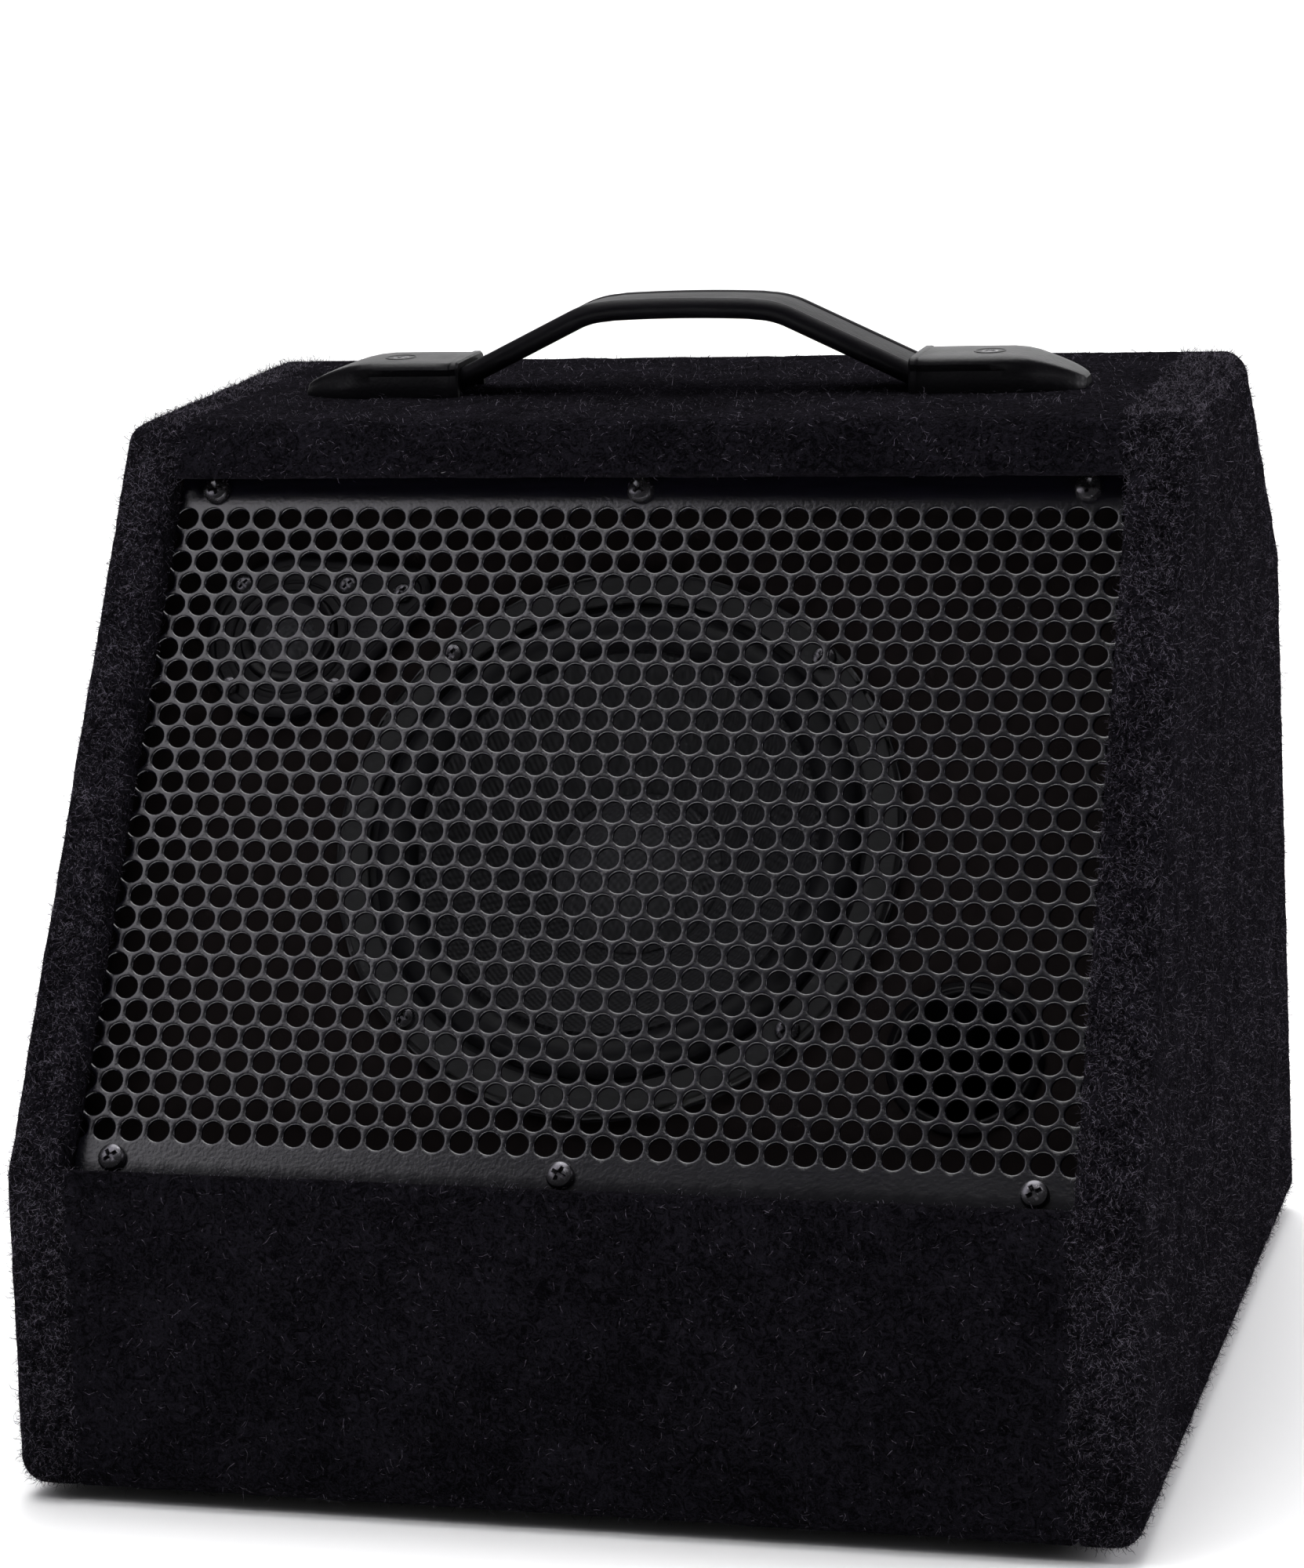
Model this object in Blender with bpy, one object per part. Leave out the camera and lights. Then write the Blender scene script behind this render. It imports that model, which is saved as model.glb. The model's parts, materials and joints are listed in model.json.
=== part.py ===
"""A small carpeted stage monitor wedge: board cabinet, steel grille, woofer, tweeter, port and strap handle.

Metres, +Z up. The kick face looks along -Y, the origin is under the middle of the wedge, on the floor.
"""

import math

import bmesh
import bpy
from mathutils import Matrix, Vector

# Cabinet, measured over the carpet to its sharp corners
WIDTH = 0.3168
DEPTH = 0.382
KICK_HEIGHT = 0.0902
FRONT_LENGTH = 0.231
FRONT_LEAN = math.radians(30.4)
TOP_LENGTH = 0.132
TOP_RISE = math.radians(4.7)
BACK_HEIGHT = 0.232
BACK_LEAN = math.radians(10.9)
BOARD = 0.009
CARPET = 0.002
GAP = 0.0003
EDGE_ROUND = 0.008
FRONT_STRIP = 0.0176
FOOT_HEIGHT = 0.004
FOOT_RADIUS = 0.010
FOOT_INSET = 0.032

# Grille, set back from the front and lifted off the kick board
GRILLE_RECESS = 0.009
GRILLE_LIFT = 0.003
GRILLE_TOP_PLAY = 0.00601
GRILLE_SIDE_PLAY = 0.0006
GRILLE_SHEET = 0.0012
COARSE_PITCH = 0.028
COARSE_HOLE = 0.0125
FIELD_MARGIN = 0.0135
BATTEN = 0.008
GRILLE_SCREW_IN = 0.0115
GRILLE_SCREW_FROM_TOP = 0.0045
GRILLE_SCREW_FROM_BOTTOM = 0.0057
SCREW_HEAD = 0.00395
SCREW_HEAD_HEIGHT = 0.0024
SCREW_SHANK = 0.0017
SCREW_LENGTH = 0.013

# Baffle and what it carries, in the grille's own plane: x across, y up the slope, z outwards
BAFFLE_SET_BACK = 0.019
WOOFER_AT = (0.0, 0.0015)
WOOFER_RADIUS = 0.0825
RIM_WIDTH = 0.0085
RIM_THICKNESS = 0.0019
RIM_LIP = 0.0095
GASKET = 0.001
BASKET_DEPTH = 0.047
BASKET_BACK = 0.047
SHEET = 0.0018
WINDOW_WIDTH = 0.030
ROLL_SPACE = 0.0154
CONE_WALL = 0.0011
CAP_RADIUS = 0.0244
CAP_RISE = 0.007
CAP_DEPTH = 0.025
NECK_DROP = 0.0068
SPIDER_DEPTH = 0.0385
COIL_RADIUS = 0.0166
COIL_WALL = 0.0006
COIL_CLEAR = 0.0007
TRAVEL_ROOM = 0.0016
PLATE_RADIUS = 0.040
PLATE = 0.006
MAGNET_RADIUS = 0.045
MAGNET = 0.014
ROLL_HEIGHT = 0.0062
TWEETER_AT = (-0.106, 0.0627)
TWEETER_RADIUS = 0.026
TWEETER_EAR = (0.0333, 0.014)
EAR_RADIUS = 0.0088
TWEETER_PLATE = 0.0045
TWEETER_THROAT = 0.0102
DOME_CLEAR = 0.0004
DOME_RISE = 0.0034
TWEETER_MOTOR = 0.019
TWEETER_MOTOR_DEPTH = 0.022
PORT_AT = (0.104, -0.0589)
PORT_BORE = 0.0179
PORT_WALL = 0.0016
PORT_FLANGE = 0.0025
PORT_LENGTH = 0.088

# Strap handle, in the top's own plane: x across, y to the back, z up
HANDLE_BACK = 0.061
MOUTH_HALF = 0.069
CAP_LENGTH = 0.051
CAP_SIDE = 0.003
CAP_HEIGHT = 0.0104
CAP_WALL = 0.0014
HANDLE_SCREW = 0.022
BOSS = 0.0046
STRAP_WIDTH = 0.024
STRAP = 0.0065
STRAP_LEVEL = 0.0047
STRAP_RISE = 0.020
GRIP_HALF = 0.028
MOUTH_STANDOFF = 0.001
END_THICKNESS = 0.005
HINGE_CLEAR = 0.0003

# Connector plate on the back, in the back's own plane, and the crossover inside
JACK_PLATE = (0.086, 0.052)
JACK_PLATE_SHEET = 0.002
JACK_UP_SLOPE = -0.020
JACK_SPACING = 0.036
JACK_BORE = 0.0036
JACK_BUSH = 0.0056
JACK_BUSH_LENGTH = 0.016
JACK_BUSH_PROUD = 0.003
JACK_BODY = (0.066, 0.026, 0.018)
JACK_WINDOW = (0.070, 0.030)
CROSSOVER = (0.070, 0.055, 0.0016)
CROSSOVER_AT = (-0.060, 0.225)
WIRE = 0.0013

HALF = WIDTH / 2
WOOFER_CUTOUT = WOOFER_RADIUS - RIM_WIDTH
CONE_RADIUS = WOOFER_RADIUS - RIM_LIP - ROLL_SPACE
CAP_HALF_WIDTH = STRAP_WIDTH / 2 + CAP_SIDE
SKIN = CARPET + GAP + BOARD
TOP_ANGLE = math.pi / 2 - FRONT_LEAN - TOP_RISE
TOP_LIP = (SKIN - GRILLE_RECESS * math.cos(TOP_ANGLE)) / math.sin(TOP_ANGLE)
GRILLE_HEIGHT = FRONT_LENGTH - GRILLE_LIFT - TOP_LIP - GRILLE_TOP_PLAY
KICK_MITRE = SKIN * math.tan(FRONT_LEAN / 2)
INNER_HALF = HALF - SKIN - GAP
FAR = 0.03
ROUND_STEPS = 3
SIDES = 28
LOST = 0.0004


# ---------------------------------------------------------------- outlines

def cabinet_outline():
    """The side profile as (y, z) corners: front bottom, kink and top, then back top, kink and bottom."""
    kink = Vector((0.0, KICK_HEIGHT))
    top_front = kink + FRONT_LENGTH * Vector((math.sin(FRONT_LEAN), math.cos(FRONT_LEAN)))
    top_back = top_front + TOP_LENGTH * Vector((math.cos(TOP_RISE), math.sin(TOP_RISE)))
    back_kink = Vector((DEPTH - BACK_HEIGHT * math.tan(BACK_LEAN), BACK_HEIGHT))
    return [Vector((0.0, 0.0)), kink, top_front, top_back, back_kink, Vector((DEPTH, 0.0))]


def along(outline, index):
    """Unit direction of the side that starts at corner index."""
    return (outline[(index + 1) % len(outline)] - outline[index]).normalized()


def inward(direction):
    return Vector((direction.y, -direction.x))


def inset(outline, distance):
    """Every side moved inwards by distance."""
    moved = []
    for index, corner in enumerate(outline):
        first = inward(along(outline, index - 1))
        second = inward(along(outline, index))
        moved.append(corner + (first + second) * distance / (1 + first.dot(second)))
    return moved


def rounded(outline, radius, steps=ROUND_STEPS):
    """Each corner replaced by an arc that is tangent to its two sides."""
    points = []
    for index, corner in enumerate(outline):
        back = -along(outline, index - 1)
        ahead = along(outline, index)
        half = back.angle(ahead) / 2
        centre = corner + (back + ahead).normalized() * radius / math.sin(half)
        spoke = corner + back * radius / math.tan(half) - centre
        sweep = math.copysign(math.pi - 2 * half, back.angle_signed(ahead))
        for step in range(steps + 1):
            points.append(centre + Matrix.Rotation(sweep * step / steps, 2) @ spoke)
    return points


def rectangle(width, height, centre=(0.0, 0.0)):
    x, y = centre
    half_w, half_h = width / 2, height / 2
    return [
        Vector((x - half_w, y - half_h)),
        Vector((x - half_w, y + half_h)),
        Vector((x + half_w, y + half_h)),
        Vector((x + half_w, y - half_h)),
    ]


def circle(radius, z=0.0, centre=(0.0, 0.0), sides=SIDES):
    return [
        Vector((
            centre[0] + radius * math.cos(2 * math.pi * side / sides),
            centre[1] + radius * math.sin(2 * math.pi * side / sides),
            z,
        ))
        for side in range(sides)
    ]


PROFILE = cabinet_outline()


# ---------------------------------------------------------------- solids

def finish(name, colour, roughness, metallic=0.0):
    material = bpy.data.materials.new(name)
    material.use_nodes = True
    shader = material.node_tree.nodes["Principled BSDF"]
    shader.inputs["Base Color"].default_value = (*colour, 1.0)
    shader.inputs["Roughness"].default_value = roughness
    shader.inputs["Metallic"].default_value = metallic
    return material


def add_object(name, bm, material, parent):
    bmesh.ops.recalc_face_normals(bm, faces=bm.faces)
    mesh = bpy.data.meshes.new(name)
    bm.to_mesh(mesh)
    bm.free()
    mesh.shade_smooth()
    mesh.set_sharp_from_angle(angle=math.radians(35))
    obj = bpy.data.objects.new(name, mesh)
    bpy.context.scene.collection.objects.link(obj)
    obj.parent = parent
    if material:
        mesh.materials.append(material)
    else:
        obj.hide_render = True
        obj.display_type = "WIRE"
    return obj


def loft(name, rings, material, parent, closed=False):
    """A skin over rings of equal length, capped at both ends or joined into one loop."""
    bm = bmesh.new()
    rows = [[bm.verts.new(point) for point in ring] for ring in rings]
    pairs = list(zip(rows, rows[1:]))
    if closed:
        pairs.append((rows[-1], rows[0]))
    else:
        bm.faces.new(rows[0])
        bm.faces.new(rows[-1])
    for low, high in pairs:
        for index in range(len(low)):
            after = (index + 1) % len(low)
            bm.faces.new((low[index], low[after], high[after], high[index]))
    return add_object(name, bm, material, parent)


def across(name, outline, low, high, material, parent):
    """A (y, z) outline carried along X."""
    rings = [[Vector((x, point.x, point.y)) for point in outline] for x in (low, high)]
    return loft(name, rings, material, parent)


def slab(name, outline, low, high, material, parent):
    """An (x, y) outline carried along Z."""
    rings = [[Vector((point[0], point[1], z)) for point in outline] for z in (low, high)]
    return loft(name, rings, material, parent)


def box(name, low, high, material, parent):
    size = [high[axis] - low[axis] for axis in range(2)]
    centre = [(high[axis] + low[axis]) / 2 for axis in range(2)]
    return slab(name, rectangle(*size, centre), low[2], high[2], material, parent)


def stacked(name, steps, material, parent, centre=(0.0, 0.0), sides=SIDES):
    """Circles of (radius, z), one above the other, closed at both ends."""
    rings = [circle(radius, z, centre, sides) for radius, z in steps]
    return loft(name, rings, material, parent)


def turned(name, section, material, parent, centre=(0.0, 0.0), sides=SIDES):
    """A closed (radius, z) section turned into a ring round Z."""
    rings = []
    for side in range(sides):
        angle = 2 * math.pi * side / sides
        rings.append([
            Vector((centre[0] + r * math.cos(angle), centre[1] + r * math.sin(angle), z))
            for r, z in section
        ])
    return loft(name, rings, material, parent, closed=True)


def combine(obj, other, operation):
    modifier = obj.modifiers.new(operation.title(), "BOOLEAN")
    modifier.operation = operation
    modifier.object = other
    return obj


def cut(obj, *cutters):
    for cutter in cutters:
        combine(obj, cutter, "DIFFERENCE")
    return obj


def drill(obj, name, radius, low, high, centre, parent, sides=12):
    steps = [(radius, low), (radius, high)]
    return cut(obj, stacked(name, steps, None, parent, centre, sides))


def frame_empty(name, origin, x, y, z, parent):
    """An empty whose axes are x, y and z, placed in its parent's space."""
    empty = bpy.data.objects.new(name, None)
    bpy.context.scene.collection.objects.link(empty)
    empty.parent = parent
    turn = Matrix((x, y, z)).transposed().to_4x4()
    empty.matrix_local = Matrix.Translation(origin) @ turn
    return empty


def pan_screw(name, centre, seat, head, head_height, shank, length, material, parent):
    """A cross-recess screw along Z, its head's underside at seat."""
    steps = [
        (shank * 0.4, seat - length),
        (shank, seat - length + 2 * shank),
        (shank, seat),
        (head, seat),
        (head, seat + head_height * 0.45),
        (head * 0.7, seat + head_height),
    ]
    screw = stacked(name, steps, material, parent, centre, sides=10)
    arm, blade = head * 0.5, head * 0.13
    cross = []
    for quarter in range(4):
        turn = Matrix.Rotation(-quarter * math.pi / 2, 2)
        for corner in ((-blade, blade), (-blade, arm), (blade, arm)):
            cross.append(turn @ Vector(corner) + Vector(centre))
    low, high = seat + head_height * 0.3, seat + head_height * 2
    return cut(screw, slab(name + "_recess", cross, low, high, None, parent))


# ---------------------------------------------------------------- cabinet

def rounded_block(name, distance, radius, cabinet):
    """The whole wedge inset by distance, every outer edge rounded by radius."""
    rings = []
    half = HALF - distance
    quarter = [math.pi / 2 * step / ROUND_STEPS for step in range(ROUND_STEPS + 1)]
    ends = [(radius * (1 - math.sin(a)), half - radius * (1 - math.cos(a))) for a in quarter]
    for extra, x in [(e, -x) for e, x in ends] + list(reversed(ends)):
        corner = max(radius - extra, LOST)
        outline = rounded(inset(PROFILE, distance + extra), corner)
        rings.append([Vector((x, point.x, point.y)) for point in outline])
    return loft(name, rings, None, cabinet)


def side_band(index, depth):
    """A band along one side of the profile, mitred at both corners, a hair short of them."""
    outer = inset(PROFILE, -FAR)
    inner = inset(PROFILE, depth)
    after = (index + 1) % len(PROFILE)
    play = along(PROFILE, index) * GAP
    return [outer[index] + play, outer[after] - play, inner[after] - play, inner[index] + play]


def top_band(depth):
    """The top's band, which runs on forwards through the front plane instead of being mitred."""
    band = side_band(TOP, depth)
    ahead = along(PROFILE, TOP) * FAR
    return [band[0] - ahead, band[1], band[2], band[3] - ahead]


def back_band(depth):
    """One bent band over the back's sloping and lower sides."""
    slope = side_band(SLOPE, depth)
    lower = side_band(BACK, depth)
    bend_out = inset(PROFILE, -FAR)[BACK]
    bend_in = inset(PROFILE, depth)[BACK]
    return [slope[0], bend_out, lower[1], lower[2], bend_in, slope[3]]


KICK, FRONT, TOP, SLOPE, BACK, BOTTOM = range(6)


def build_boards(cabinet, mdf):
    core = rounded_block("board_core", CARPET + GAP, EDGE_ROUND - CARPET, cabinet)
    bands = {
        "kick_panel": side_band(KICK, SKIN),
        "top_panel": top_band(SKIN),
        "slope_panel": side_band(SLOPE, SKIN),
        "back_panel": side_band(BACK, SKIN),
        "bottom_panel": side_band(BOTTOM, SKIN),
    }
    boards = {}
    for name, band in bands.items():
        board = across(name, band, -INNER_HALF, INNER_HALF, mdf, cabinet)
        boards[name] = combine(board, core, "INTERSECT")
    whole = inset(PROFILE, -FAR)
    for name, side in (("side_panel_left", -1), ("side_panel_right", 1)):
        reach = sorted((side * (HALF + FAR), side * (HALF - SKIN)))
        board = across(name, whole, *reach, mdf, cabinet)
        boards[name] = combine(board, core, "INTERSECT")
    return boards


def build_carpet(cabinet, felt):
    outside = rounded_block("carpet_outside", 0.0, EDGE_ROUND, cabinet)
    inside = rounded_block("carpet_inside", CARPET, EDGE_ROUND - CARPET, cabinet)
    bands = {
        "carpet_kick": side_band(KICK, SKIN),
        "carpet_top": top_band(SKIN),
        "carpet_back": back_band(SKIN),
        "carpet_bottom": side_band(BOTTOM, SKIN),
    }
    seam = HALF - FRONT_STRIP
    pieces = {}
    for name, band in bands.items():
        pieces[name] = across(name, band, -seam + GAP, seam - GAP, felt, cabinet)
    whole = inset(PROFILE, -FAR)
    for name, side in (("carpet_left", -1), ("carpet_right", 1)):
        reach = sorted((side * seam, side * (HALF + FAR)))
        pieces[name] = across(name, whole, *reach, felt, cabinet)
    for piece in pieces.values():
        combine(piece, outside, "INTERSECT")
        cut(piece, inside)
    return pieces


def build_feet(cabinet, rubber):
    base_half = HALF - FOOT_INSET
    places = {
        "foot_front_left": (-base_half, FOOT_INSET),
        "foot_front_right": (base_half, FOOT_INSET),
        "foot_back_left": (-base_half, DEPTH - 2 * FOOT_INSET),
        "foot_back_right": (base_half, DEPTH - 2 * FOOT_INSET),
    }
    for name, centre in places.items():
        steps = [
            (FOOT_RADIUS * 0.88, -FOOT_HEIGHT),
            (FOOT_RADIUS * 0.96, -FOOT_HEIGHT * 0.8),
            (FOOT_RADIUS, -GAP),
        ]
        stacked(name, steps, rubber, cabinet, centre, sides=20)


# ---------------------------------------------------------------- front

def front_frame(cabinet):
    """Centre of the grille's front face: x across, y up the slope, z outwards."""
    slope = along(PROFILE, FRONT)
    into = inward(slope)
    middle = PROFILE[FRONT] + slope * (GRILLE_LIFT + GRILLE_HEIGHT / 2) + into * GRILLE_RECESS
    origin = Vector((0.0, middle.x, middle.y))
    up = Vector((0.0, slope.x, slope.y))
    out = Vector((0.0, -into.x, -into.y))
    return frame_empty("front", origin, Vector((1.0, 0.0, 0.0)), up, out, cabinet)


def grille_screw_places():
    x = HALF - FRONT_STRIP - GRILLE_SCREW_IN
    top = GRILLE_HEIGHT / 2 - GRILLE_SCREW_FROM_TOP
    bottom = -GRILLE_HEIGHT / 2 + GRILLE_SCREW_FROM_BOTTOM
    return {
        "grille_screw_top_left": (-x, top),
        "grille_screw_top_middle": (0.0, top),
        "grille_screw_top_right": (x, top),
        "grille_screw_bottom_left": (-x, bottom),
        "grille_screw_bottom_middle": (0.0, bottom),
        "grille_screw_bottom_right": (x, bottom),
    }


def build_grille(front, steel, screw_steel):
    """The sheet carries a coarse stand-in for its fine perforation."""
    half = HALF - FRONT_STRIP - GRILLE_SIDE_PLAY
    sheet = slab("grille", rectangle(2 * half, GRILLE_HEIGHT), -GRILLE_SHEET, 0.0, steel, front)
    bm = bmesh.new()
    pitch = COARSE_PITCH
    row_step = pitch * math.sqrt(3) / 2
    upright = Matrix.Rotation(math.radians(30), 4, "Z")
    rows = int((GRILLE_HEIGHT / 2 - FIELD_MARGIN - COARSE_HOLE) / row_step)
    columns = int(half / pitch) + 1
    for row in range(-rows, rows + 1):
        for column in range(-columns, columns + 1):
            x = (column + row % 2 / 2) * pitch
            if abs(x) + COARSE_HOLE + CARPET > half:
                continue
            bmesh.ops.create_cone(
                bm,
                cap_ends=True,
                segments=6,
                radius1=COARSE_HOLE,
                radius2=COARSE_HOLE,
                depth=4 * GRILLE_SHEET,
                matrix=Matrix.Translation((x, row * row_step, 0.0)) @ upright,
            )
    cut(sheet, add_object("grille_perforation", bm, None, front))
    for name, centre in grille_screw_places().items():
        drill(sheet, name + "_hole", SCREW_SHANK + GAP, -0.005, 0.005, centre, front)
        pan_screw(
            name, centre, GAP, SCREW_HEAD, SCREW_HEAD_HEIGHT,
            SCREW_SHANK, SCREW_LENGTH, screw_steel, front,
        )


def build_battens(front, mdf):
    """The two strips that the grille's screws bite into, against the baffle's face."""
    edges = {
        "batten_top": GRILLE_HEIGHT / 2 - GAP,
        "batten_bottom": -GRILLE_HEIGHT / 2 - GRILLE_LIFT + KICK_MITRE + GAP + BATTEN,
    }
    low, high = -BAFFLE_SET_BACK + GAP, -GRILLE_SHEET - GAP
    for name, upper in edges.items():
        middle = (0.0, upper - BATTEN / 2)
        batten = slab(name, rectangle(2 * INNER_HALF, BATTEN, middle), low, high, mdf, front)
        for screw, centre in grille_screw_places().items():
            if name.split("_")[1] in screw:
                drill(batten, f"{screw}_pilot", SCREW_SHANK + GAP, low - 0.001, 0.0, centre, front)


def build_baffle(cabinet, front, mdf):
    """The board behind the grille, its ends cut to meet the kick and top panels."""
    slope = along(PROFILE, FRONT)
    into = inward(slope)
    kick_line = (PROFILE[KICK] + inward(along(PROFILE, KICK)) * (SKIN + GAP), along(PROFILE, KICK))
    top_line = (PROFILE[TOP] + inward(along(PROFILE, TOP)) * (SKIN + GAP), along(PROFILE, TOP))
    corners = []
    for depth, ends in (
        (BAFFLE_SET_BACK, (kick_line, top_line)),
        (BAFFLE_SET_BACK + BOARD, (top_line, kick_line)),
    ):
        face = PROFILE[FRONT] + into * (GRILLE_RECESS + depth)
        for start, direction in ends:
            reach = (start - face).dot(inward(direction)) / slope.dot(inward(direction))
            corners.append(face + slope * reach)
    baffle = across("baffle_board", corners, -INNER_HALF, INNER_HALF, mdf, cabinet)
    low, high = -BAFFLE_SET_BACK - 2 * BOARD, -BAFFLE_SET_BACK + BOARD
    holes = {
        "woofer_cutout": (WOOFER_CUTOUT, WOOFER_AT),
        "tweeter_cutout": (TWEETER_MOTOR + CARPET, TWEETER_AT),
        "port_cutout": (PORT_BORE + PORT_WALL + GAP, PORT_AT),
    }
    for name, (radius, centre) in holes.items():
        drill(baffle, name, radius, low, high, centre, front, sides=SIDES)


# ---------------------------------------------------------------- loudspeakers

def mount_frame(name, at, front):
    """A point on the baffle's face, with z outwards."""
    origin = Vector((at[0], at[1], -BAFFLE_SET_BACK))
    axes = [Vector(row) for row in Matrix.Identity(3)]
    return frame_empty(name, origin, *axes, front)


def build_woofer_frame(seat, paint, foam, rubber, cloth):
    rim_low = 2 * GAP + GASKET
    rim_high = rim_low + RIM_THICKNESS
    lip = WOOFER_RADIUS - RIM_LIP
    shelf = rim_low - SHEET / 3
    wall = WOOFER_CUTOUT - 3 * GAP
    waist = (wall + BASKET_BACK) / 2 + 0.006
    section = [
        (WOOFER_RADIUS, rim_high), (WOOFER_RADIUS, rim_low), (wall, rim_low),
        (waist, -BASKET_DEPTH * 0.42), (BASKET_BACK, -BASKET_DEPTH),
        (COIL_RADIUS + 0.003, -BASKET_DEPTH), (COIL_RADIUS + 0.003, -BASKET_DEPTH + SHEET),
        (BASKET_BACK - SHEET / 2, -BASKET_DEPTH + SHEET),
        (waist - SHEET, -BASKET_DEPTH * 0.42 + SHEET / 2),
        (CONE_RADIUS + 0.0105, shelf), (lip, shelf), (lip, rim_high),
    ]
    basket = turned("woofer_basket", section, paint, seat)
    for turn in range(3):
        angle = math.radians(30 + 60 * turn)
        reach = WOOFER_RADIUS
        across_dir = Vector((-math.sin(angle), math.cos(angle))) * WINDOW_WIDTH / 2
        along_dir = Vector((math.cos(angle), math.sin(angle))) * reach
        outline = [
            -along_dir - across_dir, -along_dir + across_dir,
            along_dir + across_dir, along_dir - across_dir,
        ]
        low, high = -BASKET_DEPTH * 0.92, -BASKET_DEPTH * 0.34
        cut(basket, slab(f"basket_window_{turn}", outline, low, high, None, seat))
    ring = [
        (WOOFER_RADIUS, GAP), (WOOFER_RADIUS, GAP + GASKET),
        (WOOFER_CUTOUT, GAP + GASKET), (WOOFER_CUTOUT, GAP),
    ]
    turned("woofer_gasket", ring, foam, seat)
    build_surround(seat, shelf + GAP, lip - GAP, rubber)
    hub = COIL_RADIUS + COIL_CLEAR
    rim = bore_radius(waist, -SPIDER_DEPTH - SHEET) - GAP
    waves = [(hub + (rim - hub) * step / 5, 0.0012 * (-1) ** step) for step in range(6)]
    upper = [(r, z - SPIDER_DEPTH + COIL_WALL) for r, z in waves]
    lower = [(r, z - SPIDER_DEPTH - COIL_WALL) for r, z in reversed(waves)]
    turned("woofer_spider", upper + lower, cloth, seat)


def bore_radius(waist, z):
    """The inside radius of the basket's lower wall at height z."""
    high, low = -BASKET_DEPTH * 0.42 + SHEET / 2, -BASKET_DEPTH + SHEET
    share = (z - low) / (high - low)
    return BASKET_BACK - SHEET / 2 + (waist - SHEET / 2 - BASKET_BACK) * share


def build_surround(seat, base, outer, rubber):
    """A half roll from beside the cone's edge to a flat lip glued on the basket's shelf."""
    inner = CONE_RADIUS + TRAVEL_ROOM / 2
    roll_end = CONE_RADIUS + 0.0115
    wall = 0.0009
    centre, radius = (inner + roll_end) / 2, (roll_end - inner) / 2
    arc = [math.pi * step / 4 for step in range(5)]
    above = [(centre - radius * math.cos(a), base + wall + ROLL_HEIGHT * math.sin(a)) for a in arc]
    below = [
        (centre + (radius - wall) * math.cos(a), base + (ROLL_HEIGHT - wall) * math.sin(a))
        for a in arc
    ]
    lip = [(outer, base + wall), (outer, base)]
    turned("woofer_surround", above + lip + below, rubber, seat)


def build_woofer_motor(seat, steel, ferrite):
    hole = COIL_RADIUS + COIL_CLEAR
    pole = COIL_RADIUS - COIL_WALL - COIL_CLEAR
    top = -BASKET_DEPTH - GAP
    magnet_top = top - PLATE - GAP
    back_top = magnet_top - MAGNET - GAP
    ring = [(PLATE_RADIUS, top), (PLATE_RADIUS, top - PLATE), (hole, top - PLATE), (hole, top)]
    turned("woofer_top_plate", ring, steel, seat)
    bore = hole + 0.006
    ring = [
        (MAGNET_RADIUS, magnet_top), (MAGNET_RADIUS, magnet_top - MAGNET),
        (bore, magnet_top - MAGNET), (bore, magnet_top),
    ]
    turned("woofer_magnet", ring, ferrite, seat)
    vent = pole / 3
    section = [
        (vent, back_top - PLATE), (vent, top), (pole, top), (pole, back_top),
        (PLATE_RADIUS, back_top), (PLATE_RADIUS, back_top - PLATE),
    ]
    turned("woofer_back_plate", section, steel, seat)


def build_woofer_moving(seat, pulp, cap_cloth, foil):
    """Cone, dust cap and voice coil, which slide together along the woofer's axis."""
    neck = COIL_RADIUS + GAP
    edge_z = 0.0018
    neck_z = -CAP_DEPTH - NECK_DROP
    middle = (CONE_RADIUS + CAP_RADIUS) / 2
    bow = 0.0012
    faces = [
        (CONE_RADIUS, edge_z), (middle, (edge_z - CAP_DEPTH) / 2 - bow),
        (CAP_RADIUS, -CAP_DEPTH), (neck, neck_z),
    ]
    front_side = [(r, z + CONE_WALL / 2) for r, z in faces]
    back_side = [(r, z - CONE_WALL / 2) for r, z in reversed(faces)]
    turned("woofer_cone", front_side + back_side, pulp, seat)
    base = -CAP_DEPTH + CONE_WALL / 2 + GAP
    wall = 0.0008
    sweep = [math.pi / 2 * step / 3 for step in range(4)]
    outer = [
        (max(CAP_RADIUS * math.cos(a), LOST), base + wall + CAP_RISE * math.sin(a)) for a in sweep
    ]
    inner = [
        (max((CAP_RADIUS - wall) * math.cos(a), LOST), base + CAP_RISE * math.sin(a))
        for a in reversed(sweep)
    ]
    stacked("woofer_dust_cap", inner + outer, cap_cloth, seat)
    coil_low = -BASKET_DEPTH - PLATE - 0.009
    coil_high = neck_z + 0.002
    ring = [
        (COIL_RADIUS, coil_low), (COIL_RADIUS, coil_high),
        (COIL_RADIUS - COIL_WALL, coil_high), (COIL_RADIUS - COIL_WALL, coil_low),
    ]
    turned("voice_coil", ring, foil, seat)


def teardrop(radius, ear, ear_radius, steps):
    """The outline round a circle at the origin and a smaller one at ear, with tangent sides."""
    distance = math.hypot(*ear)
    heading = math.atan2(ear[1], ear[0])
    spread = math.acos((radius - ear_radius) / distance)
    points = []
    for centre, size, start, sweep in (
        ((0.0, 0.0), radius, heading + spread, 2 * (math.pi - spread)),
        (ear, ear_radius, heading - spread, 2 * spread),
    ):
        for step in range(steps + 1):
            angle = start + sweep * step / steps
            points.append((centre[0] + size * math.cos(angle), centre[1] + size * math.sin(angle)))
    return points


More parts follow.
